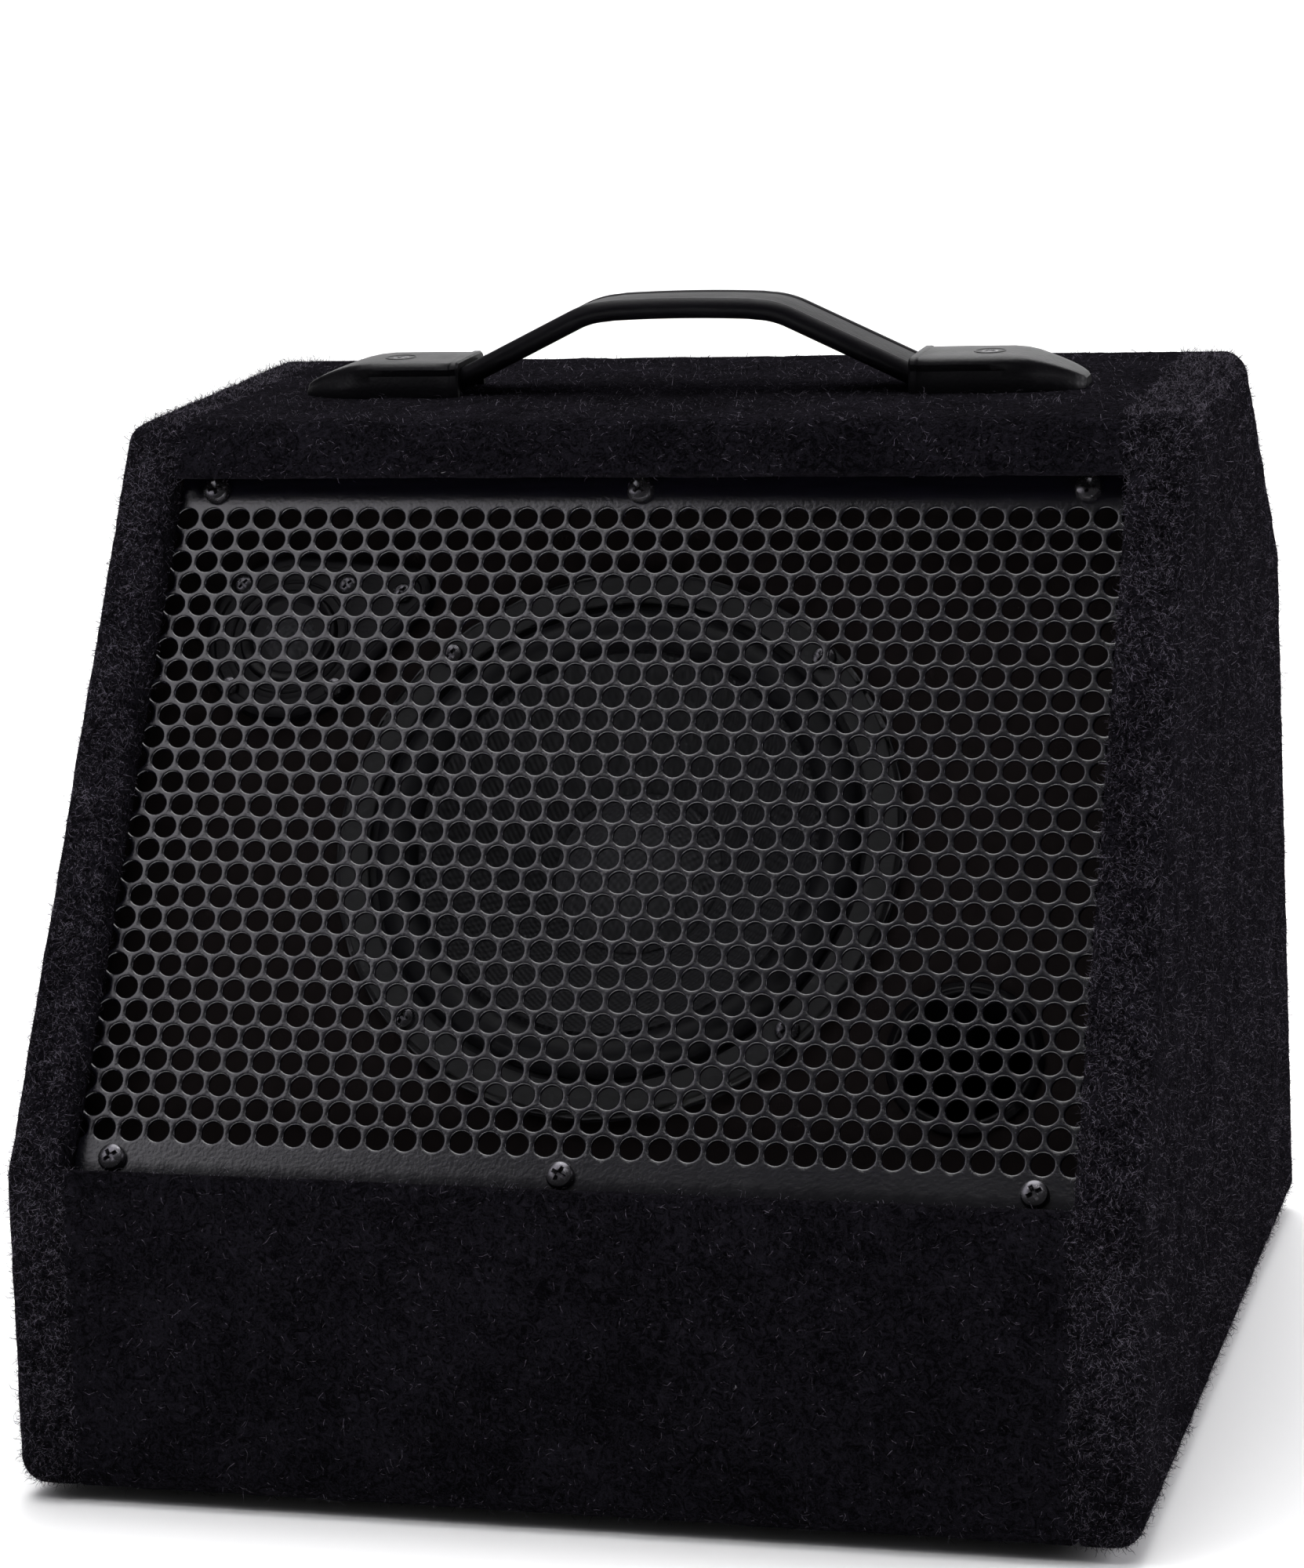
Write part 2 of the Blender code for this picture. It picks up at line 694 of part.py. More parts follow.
def build_tweeter(seat, plastic, dome_cloth, ferrite):
    outline = teardrop(TWEETER_RADIUS, TWEETER_EAR, EAR_RADIUS, steps=14)
    plate = slab("tweeter_plate", outline, GAP, GAP + TWEETER_PLATE, plastic, seat)
    horn = [
        (TWEETER_THROAT, -0.001),
        (TWEETER_THROAT, GAP + TWEETER_PLATE * 0.3),
        (TWEETER_THROAT * 1.28, GAP + TWEETER_PLATE + 0.0005),
    ]
    cut(plate, stacked("tweeter_throat", horn, None, seat, sides=20))
    radius = TWEETER_THROAT - DOME_CLEAR
    wall, base = 0.0005, DOME_CLEAR + GAP
    sweep = [math.pi / 2 * step / 3 for step in range(4)]
    outer = [(max(radius * math.cos(a), LOST), base + wall + DOME_RISE * math.sin(a)) for a in sweep]
    inner = [
        (max((radius - wall) * math.cos(a), LOST), base + DOME_RISE * math.sin(a))
        for a in reversed(sweep)
    ]
    stacked("tweeter_dome", inner + outer, dome_cloth, seat, sides=20)
    steps = [
        (TWEETER_MOTOR * 0.9, -TWEETER_MOTOR_DEPTH), (TWEETER_MOTOR, -TWEETER_MOTOR_DEPTH + 0.002),
        (TWEETER_MOTOR, 0.0),
    ]
    stacked("tweeter_motor", steps, ferrite, seat, sides=20)


def build_port(seat, plastic):
    outer = PORT_BORE + PORT_WALL
    flare = PORT_BORE + 0.0008
    section = [
        (PORT_BORE, -PORT_LENGTH), (PORT_BORE, GAP), (flare, GAP + 0.002),
        (outer + PORT_FLANGE, GAP + 0.0014), (outer + PORT_FLANGE, GAP),
        (outer, GAP), (outer, -PORT_LENGTH),
    ]
    turned("port_tube", section, plastic, seat)


# ---------------------------------------------------------------- handle

def top_frame(cabinet):
    """The strap's place on the top's carpet: x across, y to the back, z up off the surface."""
    slope = along(PROFILE, TOP)
    out = -inward(slope)
    middle = PROFILE[TOP] + slope * HANDLE_BACK
    origin = Vector((0.0, middle.x, middle.y))
    back = Vector((0.0, slope.x, slope.y))
    up = Vector((0.0, out.x, out.y))
    return frame_empty("handle", origin, Vector((1.0, 0.0, 0.0)), back, up, cabinet)


def cap_section(x, half_width, height):
    """One (y, z) section of a handle cap: flat underneath, its shoulders rounded."""
    shoulder = min(height * 0.45, half_width * 0.4)
    points = [(-half_width, GAP), (-half_width, height - shoulder)]
    for angle in (30, 60, 90):
        turn = math.radians(angle)
        points.append((
            -half_width + shoulder * (1 - math.cos(turn)),
            height - shoulder * (1 - math.sin(turn)),
        ))
    mirrored = [(-y, z) for y, z in reversed(points)]
    return [Vector((x, y, z)) for y, z in points + mirrored]


def slide_in():
    """How far each strap end slides into its cap as the raised strap is laid flat."""
    run = MOUTH_HALF - MOUTH_STANDOFF - GRIP_HALF
    return math.hypot(run, STRAP_RISE) - run


def build_handle_cap(side, name, top, plastic):
    stations = [
        (0.0, 1.0, 1.0), (0.60, 1.0, 1.0), (0.78, 0.90, 0.86), (0.92, 0.66, 0.58), (1.0, 0.40, 0.26),
    ]
    rings = [
        cap_section(side * (MOUTH_HALF + CAP_LENGTH * s), CAP_HALF_WIDTH * w, CAP_HEIGHT * h)
        for s, w, h in stations
    ]
    cap = loft(name, rings, plastic, top)
    entry = STRAP_WIDTH / 2 + 2 * GAP
    lane = entry - GAP
    roof = CAP_HEIGHT - CAP_WALL
    mouth_depth = slide_in() + STRAP
    screw = side * (MOUTH_HALF + HANDLE_SCREW)
    pocket = sorted((side * (MOUTH_HALF - 0.001), side * (MOUTH_HALF + mouth_depth)))
    lane_end = MOUTH_HALF + HANDLE_SCREW + BOSS + 2 * slide_in() + 0.004
    tunnel = sorted((side * (MOUTH_HALF + mouth_depth - 0.001), side * lane_end))
    low_roof = STRAP_LEVEL + END_THICKNESS / 2 + 2 * GAP
    hollow = box(name + "_mouth", (pocket[0], -entry, -0.001), (pocket[1], entry, roof), None, top)
    passage = box(name + "_lane", (tunnel[0], -lane, -0.001), (tunnel[1], lane, low_roof), None, top)
    cut(cap, hollow, passage)
    boss = [(BOSS, GAP), (BOSS, low_roof + 0.0005)]
    combine(cap, stacked(name + "_boss", boss, None, top, (screw, 0.0), 16), "UNION")
    drill(cap, name + "_screw_hole", SCREW_SHANK * 1.2 + GAP, -0.001, CAP_HEIGHT, (screw, 0.0), top)
    seat = CAP_HEIGHT - SCREW_HEAD_HEIGHT * 0.8
    drill(cap, name + "_recess", BOSS, seat, CAP_HEIGHT * 1.2, (screw, 0.0), top, sides=16)


def rounded_bar(name, x_low, x_high, half_width, thickness, material, parent):
    """A strap piece along X with rounded long edges, centred on its parent's axis."""
    side = rectangle(2 * half_width, thickness)
    outline = rounded(side, thickness * 0.42, steps=2)
    rings = [[Vector((x, point.x, point.y)) for point in outline] for x in (x_low, x_high)]
    return loft(name, rings, material, parent)


def build_strap(top, vinyl):
    """Five links: the grip, two legs on pivots at its ends, and two level ends inside the caps."""
    unit = [Vector(row) for row in Matrix.Identity(3)]
    run = MOUTH_HALF - MOUTH_STANDOFF - GRIP_HALF
    slope = math.atan2(STRAP_RISE, run)
    length = math.hypot(run, STRAP_RISE)
    short = STRAP / 2 + HINGE_CLEAR
    high = STRAP_LEVEL + STRAP_RISE
    lift = frame_empty("strap_lift", Vector((0.0, 0.0, high)), *unit, top)
    half_width = STRAP_WIDTH / 2
    reach = GRIP_HALF - short
    rounded_bar("strap_grip", -reach, reach, half_width, STRAP, vinyl, lift)
    for side, word in ((-1, "left"), (1, "right")):
        turn = Matrix.Rotation(side * slope, 3, "Y")
        pivot = Vector((side * GRIP_HALF, 0.0, high))
        hinge = frame_empty(f"leg_pivot_{word}", pivot, *turn.transposed(), top)
        leg = leg_outline(side * length, STRAP / 2)
        rings = [[Vector((x, y, z)) for x, z in leg] for y in (-half_width, half_width)]
        loft(f"strap_leg_{word}", rings, vinyl, hinge)
        foot = Vector((side * (GRIP_HALF + run), 0.0, STRAP_LEVEL))
        level = frame_empty(f"end_pivot_{word}", foot, *unit, top)
        slot_in, slot_out = end_slot()
        start, stop = sorted((side * short, side * (slot_out + 0.0035)))
        end_half = half_width - 2 * GAP
        end = box(
            f"strap_end_{word}", (start, -end_half, -END_THICKNESS / 2),
            (stop, end_half, END_THICKNESS / 2), vinyl, level,
        )
        slot = sorted((side * slot_in, side * slot_out))
        width = BOSS + 2 * GAP
        cut(end, box(f"end_slot_{word}", (slot[0], -width, -0.01), (slot[1], width, 0.01), None, level))


def end_slot():
    """The slot in a strap end, measured outwards from its pivot, that lets the boss stay put."""
    screw = MOUTH_STANDOFF + HANDLE_SCREW
    play = BOSS + 2 * GAP
    return screw - slide_in() - play, screw + play


def leg_outline(length, radius):
    """A long bar in (x, z) with half-round ends centred on both pivots."""
    direction = math.copysign(1, length)
    points = []
    for centre, start in ((length, -90), (0.0, 90)):
        for step in range(5):
            angle = math.radians(start + 45 * step)
            points.append((centre + direction * radius * math.cos(angle), radius * math.sin(angle)))
    return points


def build_handle_screws(top, screw_steel, through):
    """The screws that hold the caps, and their holes through the carpet and the top panel."""
    seat = CAP_HEIGHT - SCREW_HEAD_HEIGHT * 0.8 + GAP
    shank = SCREW_SHANK * 1.2
    length = seat + CARPET + BOARD
    for side, word in ((-1, "left"), (1, "right")):
        centre = (side * (MOUTH_HALF + HANDLE_SCREW), 0.0)
        pan_screw(
            f"handle_screw_{word}", centre, seat, SCREW_HEAD, SCREW_HEAD_HEIGHT * 0.8,
            shank, length, screw_steel, top,
        )
        for obj in through:
            hole = f"handle_hole_{word}_{obj.name}"
            drill(obj, hole, shank + GAP, -2 * BOARD - CARPET, 0.002, centre, top)


# ---------------------------------------------------------------- back and inside

def back_frame(cabinet):
    """Middle of the back's carpet: y up the slope, z outwards."""
    slope = -along(PROFILE, BACK)
    out = -inward(along(PROFILE, BACK))
    middle = (PROFILE[BACK] + PROFILE[BOTTOM]) / 2
    origin = Vector((0.0, middle.x, middle.y))
    up = Vector((0.0, slope.x, slope.y))
    outwards = Vector((0.0, out.x, out.y))
    return frame_empty("back", origin, up.cross(outwards), up, outwards, cabinet)


def build_jacks(back, plate_steel, brass, plastic, board, carpet):
    width, height = JACK_PLATE
    level = JACK_UP_SLOPE
    outline = rounded(rectangle(width, height, (0.0, level)), 0.004)
    low, high = GAP, GAP + JACK_PLATE_SHEET
    plate = slab("jack_plate", outline, low, high, plate_steel, back)
    window = rectangle(*JACK_WINDOW, (0.0, level))
    cutter = slab("jack_window", window, -2 * BOARD - CARPET, 0.002, None, back)
    cut(board, cutter)
    cut(carpet, cutter)
    bush_high = high + JACK_BUSH_PROUD
    bush_low = bush_high - JACK_BUSH_LENGTH
    for side, word in ((1, "input"), (-1, "link")):
        centre = (side * JACK_SPACING / 2, level)
        drill(plate, f"jack_hole_{word}", JACK_BUSH + GAP, -0.001, 0.006, centre, back, 16)
        ring = [
            (JACK_BUSH, bush_low), (JACK_BUSH, bush_high), (JACK_BORE, bush_high),
            (JACK_BORE, bush_low),
        ]
        turned(f"jack_bush_{word}", ring, brass, back, centre, sides=16)
    body_w, body_h, body_d = JACK_BODY
    body_top = bush_low - GAP
    body = rectangle(body_w, body_h, (0.0, level))
    slab("jack_housing", body, body_top - body_d, body_top, plastic, back)


def build_inside(cabinet, fibre, copper, film):
    """The crossover board and its two parts, on the bottom panel."""
    floor = SKIN + GAP
    x, y = CROSSOVER_AT
    long_side, short_side, thick = CROSSOVER
    low = (x - long_side / 2, y - short_side / 2, floor)
    high = (x + long_side / 2, y + short_side / 2, floor + thick)
    box("crossover_board", low, high, fibre, cabinet)
    base = high[2] + GAP
    coil = [(0.014, base), (0.014, base + 0.015), (0.006, base + 0.015), (0.006, base)]
    turned("crossover_inductor", coil, copper, cabinet, (x - 0.016, y), sides=20)
    can = [(0.0075, base), (0.0075, base + 0.019)]
    stacked("crossover_capacitor", can, film, cabinet, (x + 0.018, y + 0.012), sides=16)


def wire(name, route, cabinet, material):
    """A round lead along the route, its corners cut off twice over."""
    points = [Vector(point) for point in route]
    for _ in range(2):
        softer = [points[0]]
        for here, after in zip(points, points[1:]):
            softer += [here.lerp(after, 0.25), here.lerp(after, 0.75)]
        points = [*softer, points[-1]]
    curve = bpy.data.curves.new(name, "CURVE")
    curve.dimensions = "3D"
    curve.bevel_depth = WIRE
    curve.bevel_resolution = 1
    curve.use_fill_caps = True
    spline = curve.splines.new("POLY")
    spline.points.add(len(points) - 1)
    for point, place in zip(spline.points, points):
        point.co = (*place, 1.0)
    obj = bpy.data.objects.new(name, curve)
    bpy.context.scene.collection.objects.link(obj)
    obj.parent = cabinet
    curve.materials.append(material)


def build_wires(cabinet, front, back, pvc):
    """Leads from the crossover to the woofer's side, the tweeter's back and the connectors."""
    x, y = CROSSOVER_AT
    half = CROSSOVER[0] / 2
    deck = SKIN + GAP + CROSSOVER[2] + GAP + WIRE
    magnet_side = front.matrix_basis @ Vector((
        WOOFER_AT[0] - MAGNET_RADIUS - WIRE - 2 * GAP, WOOFER_AT[1],
        -BAFFLE_SET_BACK - BASKET_DEPTH - PLATE - MAGNET / 2,
    ))
    tweeter_back = front.matrix_basis @ Vector((
        *TWEETER_AT, -BAFFLE_SET_BACK - TWEETER_MOTOR_DEPTH - GAP,
    ))
    jack_back = back.matrix_basis @ Vector((
        JACK_SPACING / 2, JACK_UP_SLOPE,
        GAP + JACK_PLATE_SHEET + JACK_BUSH_PROUD - JACK_BUSH_LENGTH - 2 * GAP - JACK_BODY[2],
    ))
    into = Vector((0.0, math.cos(FRONT_LEAN), -math.sin(FRONT_LEAN)))
    near_edge = y - CROSSOVER[1] / 2 + 0.006
    wire("woofer_lead", [
        (x + half - 0.010, near_edge, deck),
        (x + half - 0.006, near_edge - 0.020, deck + 0.012),
        magnet_side + Vector((-0.012, 0.012, -0.030)),
        magnet_side + Vector((-0.004, 0.004, -0.010)),
        magnet_side,
    ], cabinet, pvc)
    wire("tweeter_lead", [
        (x - half + 0.006, near_edge, deck),
        (x - half - 0.006, near_edge - 0.020, deck + 0.015),
        tweeter_back + into * 0.055 + Vector((0.0, 0.0, -0.070)),
        tweeter_back + into * 0.030 + Vector((0.0, 0.0, -0.020)),
        tweeter_back + into * 0.010,
        tweeter_back,
    ], cabinet, pvc)
    wire("input_lead", [
        (x + half - 0.008, y + CROSSOVER[1] / 2 - 0.006, deck),
        (x + half + 0.006, y + CROSSOVER[1] / 2 + 0.012, deck + 0.010),
        jack_back + Vector((0.0, -0.030, -0.030)),
        jack_back + Vector((0.0, -0.014, -0.008)),
        jack_back,
    ], cabinet, pvc)


# ---------------------------------------------------------------- assembly

def main():
    for obj in list(bpy.data.objects):
        bpy.data.objects.remove(obj)
    felt = finish("carpet", (0.012, 0.012, 0.014), 1.0)
    mdf = finish("mdf", (0.30, 0.20, 0.13), 0.85)
    black_steel = finish("grille_steel", (0.015, 0.015, 0.020), 0.38)
    screw_steel = finish("screw_steel", (0.012, 0.012, 0.014), 0.25, 0.6)
    plastic = finish("black_plastic", (0.020, 0.020, 0.024), 0.42)
    vinyl = finish("strap_vinyl", (0.018, 0.018, 0.022), 0.45)
    rubber = finish("rubber", (0.012, 0.012, 0.012), 0.7)
    foam = finish("gasket_foam", (0.03, 0.03, 0.03), 0.95)
    cloth = finish("spider_cloth", (0.35, 0.22, 0.08), 0.9)
    pulp = finish("cone_paper", (0.020, 0.020, 0.022), 0.85)
    foil = finish("coil_copper", (0.70, 0.33, 0.15), 0.4, 0.8)
    zinc = finish("zinc_steel", (0.55, 0.55, 0.52), 0.35, 1.0)
    ferrite = finish("ferrite", (0.05, 0.05, 0.055), 0.6, 0.2)
    brass = finish("nickel_brass", (0.60, 0.58, 0.54), 0.25, 1.0)
    fibre = finish("board_fibre", (0.35, 0.25, 0.12), 0.6)
    film = finish("capacitor_film", (0.05, 0.10, 0.35), 0.4)
    pvc = finish("lead_pvc", (0.35, 0.02, 0.02), 0.4)

    reach = [point.x for point in rounded(PROFILE, EDGE_ROUND)]
    middle = (min(reach) + max(reach)) / 2
    axes = [Vector(row) for row in Matrix.Identity(3)]
    cabinet = frame_empty("cabinet", Vector((0.0, -middle, FOOT_HEIGHT)), *axes, None)

    boards = build_boards(cabinet, mdf)
    carpet = build_carpet(cabinet, felt)
    build_feet(cabinet, rubber)

    front = front_frame(cabinet)
    build_grille(front, black_steel, screw_steel)
    build_battens(front, mdf)
    build_baffle(cabinet, front, mdf)
    woofer = mount_frame("woofer", WOOFER_AT, front)
    build_woofer_frame(woofer, black_steel, foam, rubber, cloth)
    build_woofer_motor(woofer, zinc, ferrite)
    build_woofer_moving(woofer, pulp, pulp, foil)
    build_tweeter(mount_frame("tweeter", TWEETER_AT, front), plastic, pulp, ferrite)
    build_port(mount_frame("port", PORT_AT, front), plastic)

    top = top_frame(cabinet)
    build_handle_cap(-1, "handle_cap_left", top, plastic)
    build_handle_cap(1, "handle_cap_right", top, plastic)
    build_strap(top, vinyl)
    build_handle_screws(top, screw_steel, (boards["top_panel"], carpet["carpet_top"]))

    back = back_frame(cabinet)
    build_jacks(back, black_steel, brass, plastic, boards["back_panel"], carpet["carpet_back"])
    build_inside(cabinet, fibre, foil, film)
    build_wires(cabinet, front, back, pvc)


main()
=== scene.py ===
import json
import math
import random

import bmesh
import bpy
import numpy as np
from mathutils import Matrix, Vector, noise


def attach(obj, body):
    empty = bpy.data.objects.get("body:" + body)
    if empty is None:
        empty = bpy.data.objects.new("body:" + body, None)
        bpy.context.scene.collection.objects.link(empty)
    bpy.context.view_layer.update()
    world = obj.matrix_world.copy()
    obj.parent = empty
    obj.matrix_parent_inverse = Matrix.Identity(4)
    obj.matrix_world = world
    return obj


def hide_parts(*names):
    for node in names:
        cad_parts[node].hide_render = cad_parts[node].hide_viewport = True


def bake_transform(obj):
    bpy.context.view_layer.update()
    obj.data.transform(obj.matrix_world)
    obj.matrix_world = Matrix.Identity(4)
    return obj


# ------------------------------------------------------------------ sizes of the wedge, in metres

WIDTH, DEPTH, KICK_HEIGHT = 0.3168, 0.382, 0.0902
FRONT_LENGTH, FRONT_LEAN = 0.231, math.radians(30.4)
TOP_LENGTH, TOP_RISE = 0.132, math.radians(4.7)
BACK_HEIGHT, BACK_LEAN = 0.232, math.radians(10.9)
HANDLE_BACK = 0.061
EDGE_ROUND, FOOT_HEIGHT = 0.008, 0.004
STRIP = 0.0176
LIP = 0.0125
GRILLE_RECESS, GRILLE_LIFT, GRILLE_HEIGHT = 0.009, 0.003, 0.2145
GRILLE_HALF, SHEET = 0.1402, 0.0012
BAFFLE_SET_BACK = 0.019
WOOFER_AT, TWEETER_AT, PORT_AT = (0.0, 0.0015), (-0.106, 0.0627), (0.104, -0.0589)
HALF = WIDTH / 2
OPENING = HALF - STRIP
KICK, FRONT, TOP, SLOPE, BACK, BOTTOM = range(6)

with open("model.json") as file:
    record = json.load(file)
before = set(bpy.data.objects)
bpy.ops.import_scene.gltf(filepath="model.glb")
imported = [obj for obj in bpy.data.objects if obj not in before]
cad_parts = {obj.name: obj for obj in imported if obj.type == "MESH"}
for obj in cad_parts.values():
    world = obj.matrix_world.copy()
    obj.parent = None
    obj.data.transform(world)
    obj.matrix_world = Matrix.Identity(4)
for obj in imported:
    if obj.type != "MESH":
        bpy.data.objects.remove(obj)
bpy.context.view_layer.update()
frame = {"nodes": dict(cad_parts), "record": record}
rng = random.Random(11)
dice = np.random.default_rng(11)


# ------------------------------------------------------------------ the wedge's own planes

def side_outline():
    kink = Vector((0.0, KICK_HEIGHT))
    top_front = kink + FRONT_LENGTH * Vector((math.sin(FRONT_LEAN), math.cos(FRONT_LEAN)))
    top_back = top_front + TOP_LENGTH * Vector((math.cos(TOP_RISE), math.sin(TOP_RISE)))
    back_kink = Vector((DEPTH - BACK_HEIGHT * math.tan(BACK_LEAN), BACK_HEIGHT))
    return [Vector((0.0, 0.0)), kink, top_front, top_back, back_kink, Vector((DEPTH, 0.0))]


OUTLINE = side_outline()


def along(outline, index):
    return (outline[(index + 1) % len(outline)] - outline[index]).normalized()


def inward(direction):
    return Vector((direction.y, -direction.x))


def inset(outline, distance):
    moved = []
    for index, corner in enumerate(outline):
        first, second = inward(along(outline, index - 1)), inward(along(outline, index))
        moved.append(corner + (first + second) * distance / (1 + first.dot(second)))
    return moved


def arc_at(outline, index, radius, steps):
    """Points and outward normals round one corner, rounded by radius."""
    corner = outline[index]
    back, ahead = -along(outline, index - 1), along(outline, index)
    half = back.angle(ahead) / 2
    centre = corner + (back + ahead).normalized() * radius / math.sin(half)
    spoke = corner + back * radius / math.tan(half) - centre
    sweep = math.copysign(math.pi - 2 * half, back.angle_signed(ahead))
    turned = [Matrix.Rotation(sweep * step / steps, 2) @ spoke for step in range(steps + 1)]
    return [(centre + spoke_now, spoke_now.normalized()) for spoke_now in turned]


REACH = [point.x for corner in range(6) for point, _ in arc_at(OUTLINE, corner, EDGE_ROUND, 3)]
SHIFT = Matrix.Translation((0.0, -(min(REACH) + max(REACH)) / 2, FOOT_HEIGHT))


def plane(origin, up_slope, outward, across=1.0):
    axes = Matrix((
        (across, 0.0, 0.0),
        (0.0, up_slope.x, up_slope.y),
        (0.0, outward.x, outward.y),
    )).transposed().to_4x4()
    return SHIFT @ Matrix.Translation((0.0, origin.x, origin.y)) @ axes


def front_plane():
    slope = along(OUTLINE, FRONT)
    middle = OUTLINE[FRONT] + slope * (GRILLE_LIFT + GRILLE_HEIGHT / 2)
    return plane(middle + inward(slope) * GRILLE_RECESS, slope, -inward(slope))


def top_plane():
    slope = along(OUTLINE, TOP)
    return plane(OUTLINE[TOP] + slope * HANDLE_BACK, slope, -inward(slope))


def back_plane():
    slope = along(OUTLINE, BACK)
    return plane((OUTLINE[BACK] + OUTLINE[BOTTOM]) / 2, -slope, -inward(slope), across=-1.0)


FRONT_PLANE, TOP_PLANE, BACK_PLANE = front_plane(), top_plane(), back_plane()


def seat(place, depth=-BAFFLE_SET_BACK):
    return FRONT_PLANE @ Matrix.Translation((place[0], place[1], depth))


# ------------------------------------------------------------------ finishes

class Value:
    """One socket of a finish, with arithmetic that adds Math nodes."""

    def __init__(self, finish, socket):
        self.finish, self.socket = finish, socket

    def math(self, operation, *others):
        inputs = dict(enumerate((self, *others)))
        return self.finish.node("Math", {"operation": operation}, inputs)

    def __add__(self, other):
        return self.math("ADD", other)

    __radd__ = __add__

    def __mul__(self, other):
        return self.math("MULTIPLY", other)

    __rmul__ = __mul__

    def clamped(self):
        return self.finish.node("Math", {"operation": "ADD", "use_clamp": True}, {0: self, 1: 0.0})


class Finish:
    """A Principled material whose patterned inputs are built from nodes."""

    def __init__(self, name, **constants):
        self.material = bpy.data.materials.new(name)
        self.material.use_nodes = True
        self.tree = self.material.node_tree
        self.shader = self.tree.nodes["Principled BSDF"]
        for socket, value in constants.items():
            self.shader.inputs[socket.replace("_", " ")].default_value = value

    def node(self, kind, settings=None, sockets=None, output=0):
        made = self.tree.nodes.new("ShaderNode" + kind)
        for name, value in (settings or {}).items():
            if name == "stops":
                for position, colour in value[2:]:
                    made.color_ramp.elements.new(position).color = (*colour, 1.0)
                for element, (position, colour) in zip(made.color_ramp.elements, value[:2]):
                    element.position = position
                    element.color = (*colour, 1.0)
            else:
                setattr(made, name, value)
        for key, value in (sockets or {}).items():
            self.feed(made.inputs[key], value)
        return Value(self, made.outputs[output])

    def feed(self, socket, value):
        if isinstance(value, Value):
            self.tree.links.new(value.socket, socket)
        else:
            socket.default_value = value

    def place(self, scale=(1.0, 1.0, 1.0), turn=(0.0, 0.0, 0.0)):
        here = self.node("TexCoord", output=3)
        return self.node("Mapping", None, {"Vector": here, "Scale": scale, "Rotation": turn})

    def grain(self, scale, detail=4.0, rough=0.6, where=None, twist=0.0):
        sockets = {"Scale": scale, "Detail": detail, "Roughness": rough, "Distortion": twist}
        sockets["Vector"] = where or self.place()
        return self.node("TexNoise", None, sockets)

    def cells(self, scale, where=None, feature="F1", spread=1.0):
        sockets = {"Scale": scale, "Randomness": spread, "Vector": where or self.place()}
        return self.node("TexVoronoi", {"feature": feature}, sockets)

    def ramp(self, value, low, high, soft="LINEAR"):
        """Value taken from low..high to 0..1."""
        sockets = {"Value": value, "From Min": low, "From Max": high}
        return self.node("MapRange", {"interpolation_type": soft}, sockets)

    def blend(self, share, first, second):
        sockets = {0: share, 6: first, 7: second}
        return self.node("Mix", {"data_type": "RGBA"}, sockets, output=2)

    def colour(self, share, first, second):
        mixed = self.blend(share, (*first, 1.0), (*second, 1.0))
        self.feed(self.shader.inputs["Base Color"], mixed)
        return mixed

    def rough(self, value):
        self.feed(self.shader.inputs["Roughness"], value)

    def relief(self, height, distance, strength=1.0):
        bump = {"Height": height, "Distance": distance, "Strength": strength}
        self.feed(self.shader.inputs["Normal"], self.node("Bump", None, bump))


def felt_finish(name, dark, light, sheen):
    felt = Finish(name, Sheen_Weight=sheen, Sheen_Roughness=0.45, Specular_IOR_Level=0.0)
    felt.shader.inputs["Sheen Tint"].default_value = (0.93, 0.88, 1.0, 1.0)
    patches = felt.grain(55.0, 3.0, 0.6)
    wisps = felt.grain(330.0, 5.0, 0.7, twist=2.2)
    hairs = felt.grain(900.0, 4.0, 0.7, twist=2.5)
    tone = felt.ramp(wisps * 0.60 + hairs * 0.35 + patches * 0.15, 0.49, 0.72)
    felt.colour(tone, dark, light)
    felt.rough(0.9 + 0.1 * wisps)
    felt.relief(wisps * 0.8 + hairs * 0.5 + patches * 0.4, 0.0026, 1.0)
    return felt.material


def powder_finish(name, dark, light, rough, dust=0.5):
    """Powder-coated steel: fine orange peel, a little settled dust."""
    coat = Finish(name, Specular_IOR_Level=0.5)
    peel = coat.grain(900.0, 3.0, 0.5)
    haze = coat.grain(26.0, 4.0, 0.6)
    specks = coat.ramp(coat.cells(330.0), 0.055, 0.02)
    rare = coat.ramp(coat.grain(95.0, 2.0, 0.5), 0.60, 0.68)
    coat.colour((specks * rare * dust).clamped(), dark, light)
    coat.rough(rough + 0.10 * haze + 0.05 * peel + specks * rare * 0.3)
    coat.relief(peel + 0.3 * haze, 0.00012, 0.55)
    return coat.material


def moulded_finish(name, dark, light, rough, grain=1100.0, depth=0.00010, shine=0.12):
    """Injection-moulded plastic or vinyl with a fine leathery grain and light wear."""
    skin = Finish(name, Specular_IOR_Level=shine)
    pores = skin.cells(grain, feature="SMOOTH_F1")
    haze = skin.grain(70.0, 5.0, 0.65)
    wear = skin.ramp(skin.grain(260.0, 6.0, 0.7, where=skin.place((0.35, 1.0, 1.0))), 0.60, 0.78)
    skin.colour((haze * 0.5 + wear * 0.5).clamped(), dark, light)
    skin.rough(rough + 0.16 * haze + 0.10 * wear)
    skin.relief(pores + 0.4 * haze, depth, 0.5)
    return skin.material


